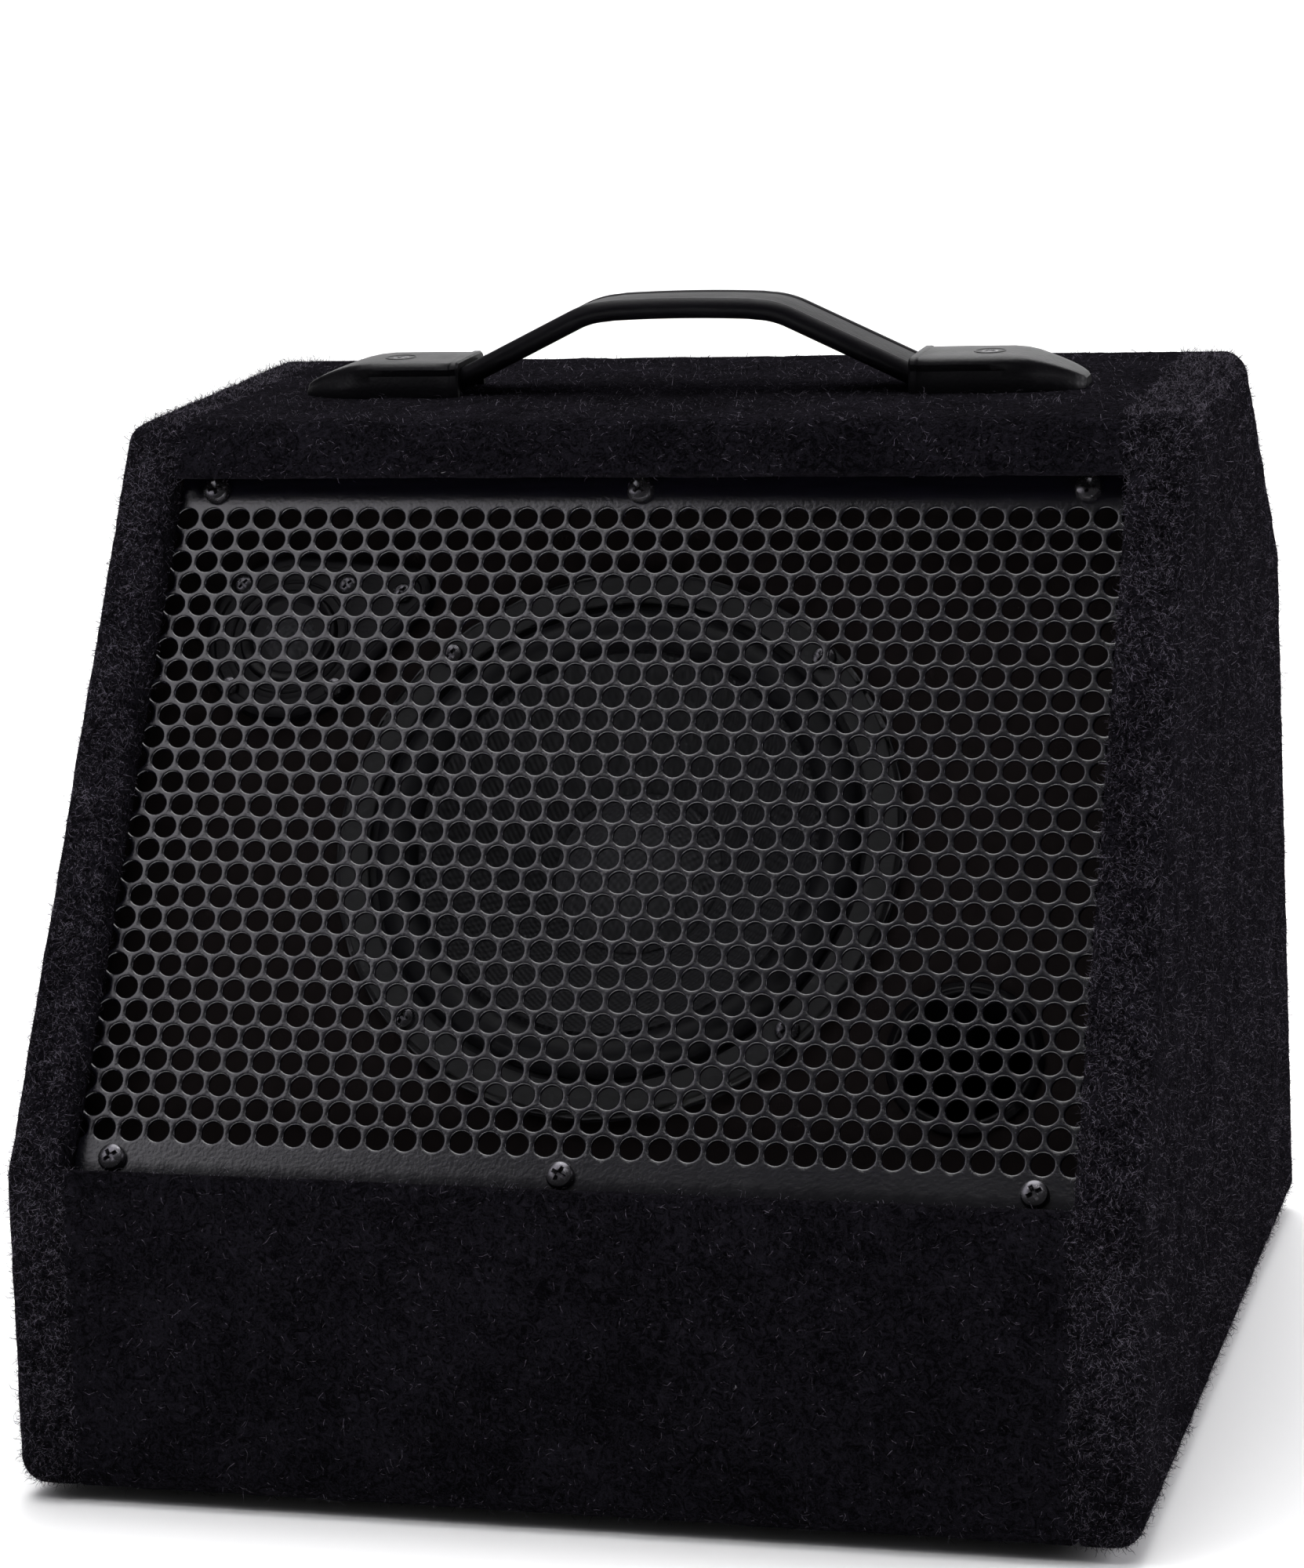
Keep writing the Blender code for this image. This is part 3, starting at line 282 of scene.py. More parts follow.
def screw_finish(name, dark, light, rough, metal):
    plated = Finish(name, Specular_IOR_Level=0.6)
    plated.shader.inputs["Metallic"].default_value = metal
    brushed = plated.grain(700.0, 4.0, 0.6, where=plated.place((1.0, 0.3, 1.0)))
    chips = plated.ramp(plated.grain(900.0, 5.0, 0.7), 0.62, 0.72)
    plated.colour(chips, dark, light)
    plated.rough(rough + 0.12 * brushed + 0.15 * chips)
    plated.relief(brushed, 0.00005, 0.4)
    return plated.material


def pulp_finish(name, dark, light):
    """Pressed, woven-faced cone: crossed fine threads over mottled pulp."""
    pulp = Finish(name, Specular_IOR_Level=0.25)
    where = pulp.place((1.0, 1.0, 1.0), (math.radians(-30), 0.0, math.radians(45)))
    warp = pulp.node("TexWave", {"bands_direction": "X"}, {"Vector": where, "Scale": 190.0})
    weft = pulp.node("TexWave", {"bands_direction": "Y"}, {"Vector": where, "Scale": 190.0})
    mottle = pulp.grain(160.0, 5.0, 0.6)
    pulp.colour((mottle * 0.6 + (warp + weft) * 0.2).clamped(), dark, light)
    pulp.rough(0.62 + 0.25 * mottle)
    pulp.relief(warp + weft + mottle, 0.00022, 0.8)
    return pulp.material


def board_finish(name, dark, light, rough=0.75):
    board = Finish(name, Specular_IOR_Level=0.06)
    chips = board.grain(240.0, 7.0, 0.72, where=board.place((1.0, 1.0, 0.5)))
    cloudy = board.grain(22.0, 3.0, 0.55)
    board.colour((chips * 0.6 + cloudy * 0.4).clamped(), dark, light)
    board.rough(rough + 0.2 * chips)
    board.relief(chips, 0.0003, 0.6)
    return board.material


def wound_finish(name, dark, light):
    """Lacquered copper wire, turn beside turn."""
    coil = Finish(name, Metallic=0.85)
    turns = coil.node("TexWave", {"bands_direction": "Z"}, {"Vector": coil.place(), "Scale": 320.0})
    stain = coil.grain(120.0, 4.0, 0.6)
    coil.colour((turns * 0.5 + stain * 0.5).clamped(), dark, light)
    coil.rough(0.28 + 0.25 * stain)
    coil.relief(turns, 0.0003, 0.8)
    return coil.material


FINISH = {
    "carpet": felt_finish("carpet_felt", (0.0005, 0.0004, 0.0009), (0.0190, 0.0170, 0.0235), 0.012),
    # the fibre's light colour is far paler than the felt: a painted glint that brightens the front-lit carpet
    # fuzz
    "fibre": felt_finish("carpet_fibre_painted_glint", (0.0040, 0.0036, 0.0050), (0.330, 0.300, 0.370), 0.03),
    "lint": felt_finish("pale_lint", (0.20, 0.20, 0.20), (0.42, 0.42, 0.42), 0.1),
    "grille": powder_finish("grille_powder", (0.0022, 0.0020, 0.0040), (0.12, 0.12, 0.13), 0.16),
    "frame": powder_finish("frame_powder", (0.006, 0.006, 0.008), (0.08, 0.08, 0.08), 0.35, 0.2),
    "screw": screw_finish("black_zinc", (0.070, 0.068, 0.075), (0.22, 0.22, 0.22), 0.20, 0.9),
    "zinc": screw_finish("bright_zinc", (0.52, 0.52, 0.50), (0.30, 0.30, 0.28), 0.28, 1.0),
    "nickel": screw_finish("nickel_plate", (0.60, 0.58, 0.54), (0.38, 0.36, 0.33), 0.18, 1.0),
    "plastic": moulded_finish("cap_plastic", (0.0016, 0.0014, 0.0022), (0.0060, 0.0056, 0.0070), 0.33),
    "strap": moulded_finish(
        "strap_vinyl", (0.0018, 0.0016, 0.0024), (0.0060, 0.0056, 0.0070), 0.36, 800.0, shine=0.05,
    ),
    "rubber": moulded_finish("roll_rubber", (0.004, 0.004, 0.005), (0.012, 0.012, 0.014), 0.42, 600.0),
    "foam": moulded_finish("gasket_foam", (0.016, 0.016, 0.017), (0.040, 0.040, 0.042), 0.75, 500.0, 0.0004),
    "pulp": pulp_finish("cone_pulp", (0.003, 0.003, 0.004), (0.014, 0.014, 0.017)),
    "dome": pulp_finish("dome_cloth", (0.010, 0.010, 0.012), (0.030, 0.030, 0.034)),
    "baffle": board_finish("baffle_stain", (0.004, 0.003, 0.003), (0.012, 0.009, 0.009)),
    "board": board_finish("bare_board", (0.22, 0.15, 0.10), (0.36, 0.26, 0.18)),
    "cloth": pulp_finish("spider_cloth", (0.28, 0.17, 0.06), (0.42, 0.28, 0.12)),
    "copper": wound_finish("coil_copper", (0.55, 0.24, 0.10), (0.80, 0.42, 0.22)),
    "ferrite": board_finish("ferrite", (0.030, 0.030, 0.033), (0.070, 0.070, 0.074), 0.5),
    "laminate": board_finish("brown_laminate", (0.25, 0.16, 0.07), (0.38, 0.27, 0.13), 0.45),
    "sleeve": moulded_finish("blue_sleeve", (0.03, 0.07, 0.28), (0.06, 0.12, 0.40), 0.25),
    "pvc": moulded_finish("red_pvc", (0.28, 0.012, 0.012), (0.42, 0.03, 0.03), 0.3),
}

NODE_FINISH = {
    "mdf": "board",
    "rubber": "rubber",
    "screw_steel": "screw",
    "grille_steel": "frame",
    "gasket_foam": "foam",
    "spider_cloth": "cloth",
    "cone_paper": "pulp",
    "dome_cloth": "dome",
    "coil_copper": "copper",
    "zinc_steel": "zinc",
    "ferrite": "ferrite",
    "black_plastic": "plastic",
    "strap_vinyl": "strap",
    "nickel_brass": "nickel",
    "board_fibre": "laminate",
    "capacitor_film": "sleeve",
    "lead_pvc": "pvc",
    "carpet": "carpet",
}


# ------------------------------------------------------------------ making meshes

def piece(name, points, faces, finish, **rest):
    """A mesh object from points and faces, in its final place."""
    mesh = bpy.data.meshes.new(name)
    mesh.from_pydata([tuple(point) for point in points], [], faces)
    return settle(name, mesh, finish, **rest)


def from_bmesh(name, bm, finish, **rest):
    mesh = bpy.data.meshes.new(name)
    bm.to_mesh(mesh)
    bm.free()
    return settle(name, mesh, finish, **rest)


def settle(name, mesh, finish, body="cabinet", slot=None, stands_for=(), turn=60, place=None):
    """The mesh as an object in its place, with its body and the nodes it replaces; slot is not used."""
    if place is not None:
        mesh.transform(place)
    mesh.materials.clear()
    mesh.materials.append(FINISH[finish])
    mesh.validate()
    mesh.shade_smooth()
    mesh.set_sharp_from_angle(angle=math.radians(turn))
    obj = bpy.data.objects.new(name, mesh)
    bpy.context.scene.collection.objects.link(obj)
    if body:
        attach(obj, body)
    if stands_for:
        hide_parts(*stands_for)
    return obj


def strip_faces(rows, columns, wrap_rows=False, wrap_columns=False, start=0):
    """Quads over a rows x columns block of points numbered row by row."""
    faces = []
    for row in range(rows if wrap_rows else rows - 1):
        after = (row + 1) % rows
        for column in range(columns if wrap_columns else columns - 1):
            beside = (column + 1) % columns
            faces.append((
                start + row * columns + column,
                start + row * columns + beside,
                start + after * columns + beside,
                start + after * columns + column,
            ))
    return faces


def skin(bm, rings, wrap=True):
    """Quads from each ring of vertices to the next."""
    for first, second in zip(rings, rings[1:]):
        for index in range(len(first) if wrap else len(first) - 1):
            after = (index + 1) % len(first)
            bm.faces.new((first[index], first[after], second[after], second[index]))


def lofted(rows, cap=False):
    """A bmesh skinned over closed rows of points, its normals outwards."""
    bm = bmesh.new()
    rings = [[bm.verts.new(point) for point in row] for row in rows]
    skin(bm, rings)
    if cap:
        bm.faces.new(rings[-1])
    bmesh.ops.recalc_face_normals(bm, faces=bm.faces)
    return bm


def turned(name, section, finish, place, sides=96, closed=False, **rest):
    """A (radius, z) line turned round Z. Closed joins its ends; a zero radius makes a centre."""
    points = []
    for radius, z in section:
        for side in range(sides):
            angle = 2 * math.pi * side / sides
            points.append((radius * math.cos(angle), radius * math.sin(angle), z))
    faces = strip_faces(len(section), sides, closed, True)
    bm = bmesh.new()
    verts = [bm.verts.new(point) for point in points]
    for face in faces:
        bm.faces.new([verts[index] for index in face])
    bmesh.ops.remove_doubles(bm, verts=bm.verts, dist=1e-6)
    bmesh.ops.recalc_face_normals(bm, faces=bm.faces)
    return from_bmesh(name, bm, finish, place=place, **rest)


def arc(centre, radius, start, stop, steps):
    """Points round a circle in the section plane, angles in degrees."""
    turns = [math.radians(start + (stop - start) * step / steps) for step in range(steps + 1)]
    return [(centre[0] + radius * math.cos(a), centre[1] + radius * math.sin(a)) for a in turns]


def apply_cut(obj, cutter):
    modifier = obj.modifiers.new("cut", "BOOLEAN")
    modifier.operation = "DIFFERENCE"
    modifier.object = cutter
    graph = bpy.context.evaluated_depsgraph_get()
    cut = bpy.data.meshes.new_from_object(obj.evaluated_get(graph))
    obj.modifiers.clear()
    obj.data = cut
    bpy.data.objects.remove(cutter)


def blade(radius, depth, top, turn):
    """One tapering blade of a Phillips driver's tip."""
    wide, narrow, thick = radius, radius * 0.42, radius * 0.26
    corners = [
        (-wide, -thick, top), (wide, -thick, top), (wide, thick, top), (-wide, thick, top),
        (-narrow, -thick * 0.7, top - depth), (narrow, -thick * 0.7, top - depth),
        (narrow, thick * 0.7, top - depth), (-narrow, thick * 0.7, top - depth),
    ]
    bm = bmesh.new()
    spin = Matrix.Rotation(turn, 3, "Z")
    verts = [bm.verts.new(spin @ Vector(corner)) for corner in corners]
    for face in (
        (0, 1, 2, 3), (7, 6, 5, 4), (0, 4, 5, 1), (1, 5, 6, 2), (2, 6, 7, 3), (3, 7, 4, 0),
    ):
        bm.faces.new([verts[index] for index in face])
    bmesh.ops.recalc_face_normals(bm, faces=bm.faces)
    mesh = bpy.data.meshes.new("driver_blade")
    bm.to_mesh(mesh)
    bm.free()
    cutter = bpy.data.objects.new("driver_blade", mesh)
    bpy.context.scene.collection.objects.link(cutter)
    return cutter


def screw_mesh(radius, height, countersunk=False):
    """A pan or countersunk head with a real cross recess, seated at z = 0."""
    if countersunk:
        section = [(0.0, -height), (radius * 0.4, -height), (radius * 0.97, -0.0003)]
        section += [(radius, 0.0), (radius * 0.9, height * 0.10), (radius * 0.5, height * 0.22)]
        section += [(0.0, height * 0.26)]
        top = height * 0.3
    else:
        section = [(0.0, -0.0005), (radius * 0.98, -0.0005), (radius, 0.0)]
        section += [(radius, height * 0.30), (radius * 0.97, height * 0.52)]
        section += [(radius * 0.87, height * 0.78), (radius * 0.66, height * 0.94)]
        section += [(radius * 0.33, height), (0.0, height)]
        top = height * 1.05
    bm = bmesh.new()
    sides = 40
    rows = []
    for reach, z in section:
        if reach == 0.0:
            rows.append([bm.verts.new((0.0, 0.0, z))] * sides)
            continue
        rows.append([
            bm.verts.new((
                reach * math.cos(2 * math.pi * side / sides),
                reach * math.sin(2 * math.pi * side / sides), z,
            )) for side in range(sides)
        ])
    for low, high in zip(rows, rows[1:]):
        for side in range(sides):
            after = (side + 1) % sides
            corners = [low[side], low[after], high[after], high[side]]
            bm.faces.new(list(dict.fromkeys(corners)))
    bmesh.ops.recalc_face_normals(bm, faces=bm.faces)
    mesh = bpy.data.meshes.new("screw")
    bm.to_mesh(mesh)
    bm.free()
    blank = bpy.data.objects.new("screw_blank", mesh)
    bpy.context.scene.collection.objects.link(blank)
    for turn in (0.3, 0.3 + math.pi / 2):
        apply_cut(blank, blade(radius * 0.60, height * 0.75, top, turn))
    mesh = blank.data
    bpy.data.objects.remove(blank)
    return mesh


def drive_screw(name, mesh, place, spin, finish="screw", slot="screw_steel", stands_for=()):
    copy = mesh.copy()
    copy.name = name
    turned_place = place @ Matrix.Rotation(spin, 4, "Z")
    return settle(name, copy, finish, slot=slot, stands_for=stands_for, turn=30, place=turned_place)


# ------------------------------------------------------------------ carpet

def straight(first, second, count):
    return [first.lerp(second, step / count) for step in range(1, count)]


STRAIGHTS = {KICK: 34, FRONT: 88, TOP: 50, SLOPE: 42, BACK: 84, BOTTOM: 110}
ARC_STEPS = 7


def wrap_loop(extra):
    """The carpet's closed outline, inset by extra: (point, outward normal) pairs, always as many."""
    outline = inset(OUTLINE, extra)
    radius = max(EDGE_ROUND - extra, 0.0004)
    arcs = [arc_at(outline, corner, radius, ARC_STEPS) for corner in range(6)]
    loop = []
    for side in range(6):
        loop += arcs[side]
        first, second = arcs[side][-1], arcs[(side + 1) % 6][0]
        loop += [(point, first[1]) for point in straight(first[0], second[0], STRAIGHTS[side])]
    return loop


def loop_start(side):
    """Index of the last point of the arc that starts a side."""
    return sum(ARC_STEPS + STRAIGHTS[before] for before in range(side)) + ARC_STEPS


def edge_stations():
    """(x, extra inset, outward lean) from the seam line out over the rounded side edge."""
    half = HALF
    flat = [OPENING + 0.0025, OPENING + 0.0048, half - EDGE_ROUND]
    stations = [(x, 0.0, 0.0) for x in flat]
    for step in range(1, 8):
        angle = math.pi / 2 * step / 7
        inset_now = EDGE_ROUND * (1 - math.cos(angle))
        stations.append((half - EDGE_ROUND * (1 - math.sin(angle)), inset_now, angle))
    return stations


def hairy(point, normal, amount):
    """The point, moved along its normal by the felt's soft unevenness."""
    wide = noise.noise(Vector(point) * 95.0)
    fine = noise.noise(Vector(point) * 430.0)
    return [point[axis] + normal[axis] * amount * (0.6 * wide + 0.4 * fine) for axis in range(3)]


def seam_dip(x, y, z, side):
    """How far the carpet is drawn in at a seam."""
    dip = 0.0
    if side in (KICK, SLOPE, BACK, BOTTOM):
        dip += 0.0011 * math.exp(-((abs(x) - OPENING) / 0.0007) ** 2)
    if side == FRONT:
        slope = along(OUTLINE, FRONT)
        up = (Vector((y, z)) - OUTLINE[FRONT]).dot(slope)
        start, stop = Vector((OPENING, FRONT_LENGTH - LIP)), Vector((HALF - 0.004, FRONT_LENGTH - 0.004))
        here = Vector((abs(x), up)) - start
        run = (stop - start).normalized()
        off = abs(here.x * run.y - here.y * run.x)
        if 0.0 < here.dot(run) < (stop - start).length:
            dip += 0.0012 * math.exp(-(off / 0.0009) ** 2)
    return dip


def side_of(index):
    for side in range(5, -1, -1):
        if index >= loop_start(side) - ARC_STEPS // 2:
            return side
    return BOTTOM


def build_carpet():
    bm = bmesh.new()
    count = len(wrap_loop(0.0))
    lip_row = loop_start(FRONT) + round(STRAIGHTS[FRONT] * (FRONT_LENGTH - LIP) / FRONT_LENGTH)
    kink_row = loop_start(FRONT) - ARC_STEPS // 2
    front_rows = set(range(kink_row, lip_row + 1))

    def put(x, point, normal, side, lean=0.0):
        out = (math.sin(lean) * math.copysign(1, x), normal.x * math.cos(lean), normal.y * math.cos(lean))
        place = hairy((x, point.x, point.y), out, 0.00042)
        dip = seam_dip(x, point.x, point.y, side) if lean == 0.0 else 0.0
        return bm.verts.new([place[axis] - out[axis] * dip for axis in range(3)])

    flat_loop = wrap_loop(0.0)
    into = inward(along(OUTLINE, FRONT))
    for hand in (-1, 1):
        columns = []
        reveal = [(OPENING, 0.0108), (OPENING, 0.0072), (OPENING, 0.0045)]
        reveal += [
            (OPENING + 0.0025 * (1 - math.cos(a)), 0.0025 * (1 - math.sin(a)))
            for a in (0.0, math.pi / 6, math.pi / 3)
        ]
        for number, (x, depth) in enumerate(reveal):
            column = []
            even = OPENING + 0.0025 * number / len(reveal)
            for index, (point, normal) in enumerate(flat_loop):
                if index in front_rows:
                    column.append(put(hand * x, point + into * depth, normal, None))
                else:
                    column.append(put(hand * even, point, normal, side_of(index)))
            columns.append(column)
        for x, extra, lean in edge_stations():
            loop = wrap_loop(extra)
            columns.append([
                put(hand * x, point, normal, side_of(index), lean)
                for index, (point, normal) in enumerate(loop)
            ])
        for extra in (0.012, 0.018, 0.025, 0.033, 0.041):
            columns.append([
                put(hand * HALF, point, normal, None, math.pi / 2)
                for point, normal in wrap_loop(extra)
            ])
        skin(bm, columns)
        bm.faces.new(columns[-1])

    middle = list(range(lip_row, count)) + list(range(0, kink_row + 1))
    spread = [OPENING * step / 56 for step in range(-55, 56)]
    ends = [OPENING, OPENING - 0.0008, OPENING - 0.0018]
    stations = [-x for x in ends] + [x for x in spread if abs(x) < OPENING - 0.002] + ends[::-1]
    slope = along(OUTLINE, FRONT)
    kink, kink_out = flat_loop[kink_row]
    ledge_in = -kink_out
    rows = []
    for x in stations:
        line = []
        lip = flat_loop[lip_row][0]
        for depth, drop in ((0.0022, 0.0), (0.0012, 0.0004), (0.0004, 0.0002)):
            line.append(put(x, lip + into * depth - slope * (0.0002 - drop), -slope, None))
        for index in middle:
            point, normal = flat_loop[index]
            line.append(put(x, point, normal, side_of(index)))
        for angle in (25, 50, 75, 90):
            turn = math.radians(angle)
            centre = kink + ledge_in * 0.0022
            spoke = kink_out * 0.0022 * math.cos(turn) + slope * 0.0022 * math.sin(turn)
            line.append(put(x, centre + spoke, spoke.normalized(), None))
        for depth in (0.0045, 0.0070, 0.0098):
            line.append(put(x, kink + ledge_in * depth + slope * 0.0022, slope, None))
        rows.append(line)
    skin(bm, rows, wrap=False)
    bmesh.ops.remove_doubles(bm, verts=bm.verts, dist=0.00006)
    bmesh.ops.recalc_face_normals(bm, faces=bm.faces)
    names = [f"carpet_{side}" for side in ("left", "right", "top", "kick", "back", "bottom")]
    return from_bmesh(
        "carpet_wrap", bm, "carpet", slot="carpet", stands_for=names, turn=75, place=SHIFT,
    )


def scatter_fibres(name, carpet, number, length, width, finish, lift, wear_and_light_share=1.0):
    """Short curved hairs rooted in the carpet, mostly lying down; crowded on the strip edges for wear and
    painted light, thinned on the kick as painted shade.
    """
    mesh = carpet.data
    mesh.calc_loop_triangles()
    corners = np.empty(len(mesh.vertices) * 3)
    mesh.vertices.foreach_get("co", corners)
    corners = corners.reshape(-1, 3)
    triangles = np.empty(len(mesh.loop_triangles) * 3, int)
    mesh.loop_triangles.foreach_get("vertices", triangles)
    a, b, c = (corners[triangles.reshape(-1, 3)[:, k]] for k in range(3))
    across = np.cross(b - a, c - a)
    area = np.linalg.norm(across, axis=1)
    keep = area > 1e-12
    a, b, c, across, area = a[keep], b[keep], c[keep], across[keep], area[keep]
    middle, facing = (a + b + c) / 3, np.abs(across[:, 0]) / area
    # pale fibres crowd the strip edges, partly real wear and partly painted light from the front-top lamp,
    # and thin out on the kick as painted shade
    worn_and_lit = (np.abs(middle[:, 0]) > OPENING - 0.002) & (facing < 0.93)
    kick = across[:, 1] / area < -0.95
    weight = area * np.where(worn_and_lit, wear_and_light_share, np.where(kick, 0.45, np.where(facing > 0.93, 2.2, 1.0)))
    chosen = dice.choice(len(area), number, p=weight / weight.sum())
    share = dice.random((number, 2))
    over = share.sum(1) > 1
    share[over] = 1 - share[over]
    root = a[chosen] + share[:, :1] * (b - a)[chosen] + share[:, 1:] * (c - a)[chosen]
    normal = across[chosen] / area[chosen, None]
    loose = dice.normal(size=(number, 3))
    lying = loose - (loose * normal).sum(1, keepdims=True) * normal
    lying /= np.linalg.norm(lying, axis=1, keepdims=True)
    reach = length * np.minimum(dice.gamma(3.0, 1 / 3.0, (number, 1)), 1.9)
    rise = lift * dice.random((number, 1)) ** 2
    curl = np.cross(normal, lying) * dice.normal(0.0, 0.35, (number, 1))
    spine = [
        root - normal * 0.00015,
        root + reach * (0.5 * lying + rise * normal),
        root + reach * (0.9 * lying + curl + rise * 1.3 * normal),
    ]
    flat = np.cross(normal, lying) * width * (0.6 + 0.8 * dice.random((number, 1))) / 2
    upright = normal * width / 2
    side = flat + upright * dice.normal(0.0, 0.6, (number, 1))
    points = np.stack([
        spine[0] - side, spine[0] + side, spine[1] - side * 0.9, spine[1] + side * 0.9, spine[2],
    ], axis=1).reshape(-1, 3)
    first = np.arange(number)[:, None] * 5
    quads = (first + np.array([0, 1, 3, 2])).tolist()
    tips = (first + np.array([2, 3, 4])).tolist()
    return piece(name, points.tolist(), quads + tips, finish, slot="carpet", turn=180)


# ------------------------------------------------------------------ grille

PITCH, HOLE = 0.008, 0.00314
ROW = PITCH * math.sqrt(3) / 2
FIRST_ROW, LAST_ROW, TOP_ROW_Y = -7, 20, 0.04552
GRID_SHIFT = 3.675
RIM_STEPS = 24
RIMS = ((0.00054, 0.0), (0.00032, -0.00005), (0.00012, -0.00018), (0.0, -0.00042), (0.0, -SHEET))


def hexagon(step):
    angle = 2 * math.pi * step / RIM_STEPS
    folded = (angle + math.pi / 6) % (math.pi / 3) - math.pi / 6
    reach = PITCH / 2 / math.cos(folded)
    return reach * math.cos(angle), reach * math.sin(angle)


def hole_middles(row):
    """The x of each hole of a row that reaches the sheet."""
    for column in range(-15, 23):
        x = PITCH * (column + (0.5 if row % 2 else 0.0) - GRID_SHIFT)
        if abs(x) <= GRILLE_HALF + PITCH * 0.55:
            yield x


def build_grille():
    points, faces = [], []
    ring = [hexagon(step) for step in range(RIM_STEPS)]
    circle = [
        (math.cos(2 * math.pi * step / RIM_STEPS), math.sin(2 * math.pi * step / RIM_STEPS))
        for step in range(RIM_STEPS)
    ]
    for row in range(FIRST_ROW, LAST_ROW + 1):
        y = TOP_ROW_Y - ROW * row
        for x in hole_middles(row):
            start = len(points)
            points += [(x + px, y + py, 0.0) for px, py in ring]
            for spread, z in RIMS:
                points += [(x + (HOLE + spread) * px, y + (HOLE + spread) * py, z) for px, py in circle]
            points += [(x + px, y + py, -SHEET) for px, py in ring]
            faces += strip_faces(len(RIMS) + 2, RIM_STEPS, False, True, start)
    bm = bmesh.new()
    verts = [bm.verts.new(point) for point in points]
    for face in faces:
        bm.faces.new([verts[index] for index in reversed(face)])
    for row, edge, angles in (
        (FIRST_ROW, GRILLE_HEIGHT / 2, range(2, 11)),
        (LAST_ROW, -GRILLE_HEIGHT / 2, range(14, 23)),
    ):
        way = math.copysign(1, edge)
        line = []
        y = TOP_ROW_Y - ROW * row
        for x in hole_middles(row):
            line += [(x + ring[step][0], y + ring[step][1]) for step in angles]
        line = sorted(set((round(px, 7), round(py, 7)) for px, py in line))
        bands = [
            [
                bm.verts.new(place) for place in (
                    (px, py, 0.0), (px, (py + edge) / 2, 0.0), (px, edge - way * 0.0003, 0.0),
                    (px, edge - way * 0.00008, -0.00008), (px, edge, -0.0003),
                    (px, edge, -SHEET), (px, py, -SHEET),
                )
            ]
            for px, py in line
        ]
        skin(bm, bands, wrap=False)
    bmesh.ops.remove_doubles(bm, verts=bm.verts, dist=2e-5)
    for way in (-1, 1):
        everything = bm.verts[:] + bm.edges[:] + bm.faces[:]
        cut = bmesh.ops.bisect_plane(
            bm, geom=everything, plane_co=(way * GRILLE_HALF, 0, 0), plane_no=(way, 0, 0), clear_outer=True,
        )
        edges = [item for item in cut["geom_cut"] if isinstance(item, bmesh.types.BMEdge)]
        bmesh.ops.holes_fill(bm, edges=edges, sides=0)
    bmesh.ops.recalc_face_normals(bm, faces=bm.faces)
    return from_bmesh(
        "grille_sheet", bm, "grille", slot="grille_steel", stands_for=["grille"], turn=50, place=FRONT_PLANE,
    )


def grille_screws():
    mesh = screw_mesh(0.00395, 0.0024)
    x = OPENING - 0.0115
    top, bottom = GRILLE_HEIGHT / 2 - 0.0045, -GRILLE_HEIGHT / 2 + 0.0057
    spins = iter((0.1, 0.5, 1.1, 0.35, 0.8, 0.25))
    for word, y in (("top", top), ("bottom", bottom)):
        for hand, across in (("left", -x), ("middle", 0.0), ("right", x)):
            name = f"grille_screw_{word}_{hand}"
            place = FRONT_PLANE @ Matrix.Translation((across, y, 0.0003))
            drive_screw(f"{name}_head", mesh, place, next(spins), stands_for=[name])


# ------------------------------------------------------------------ loudspeakers

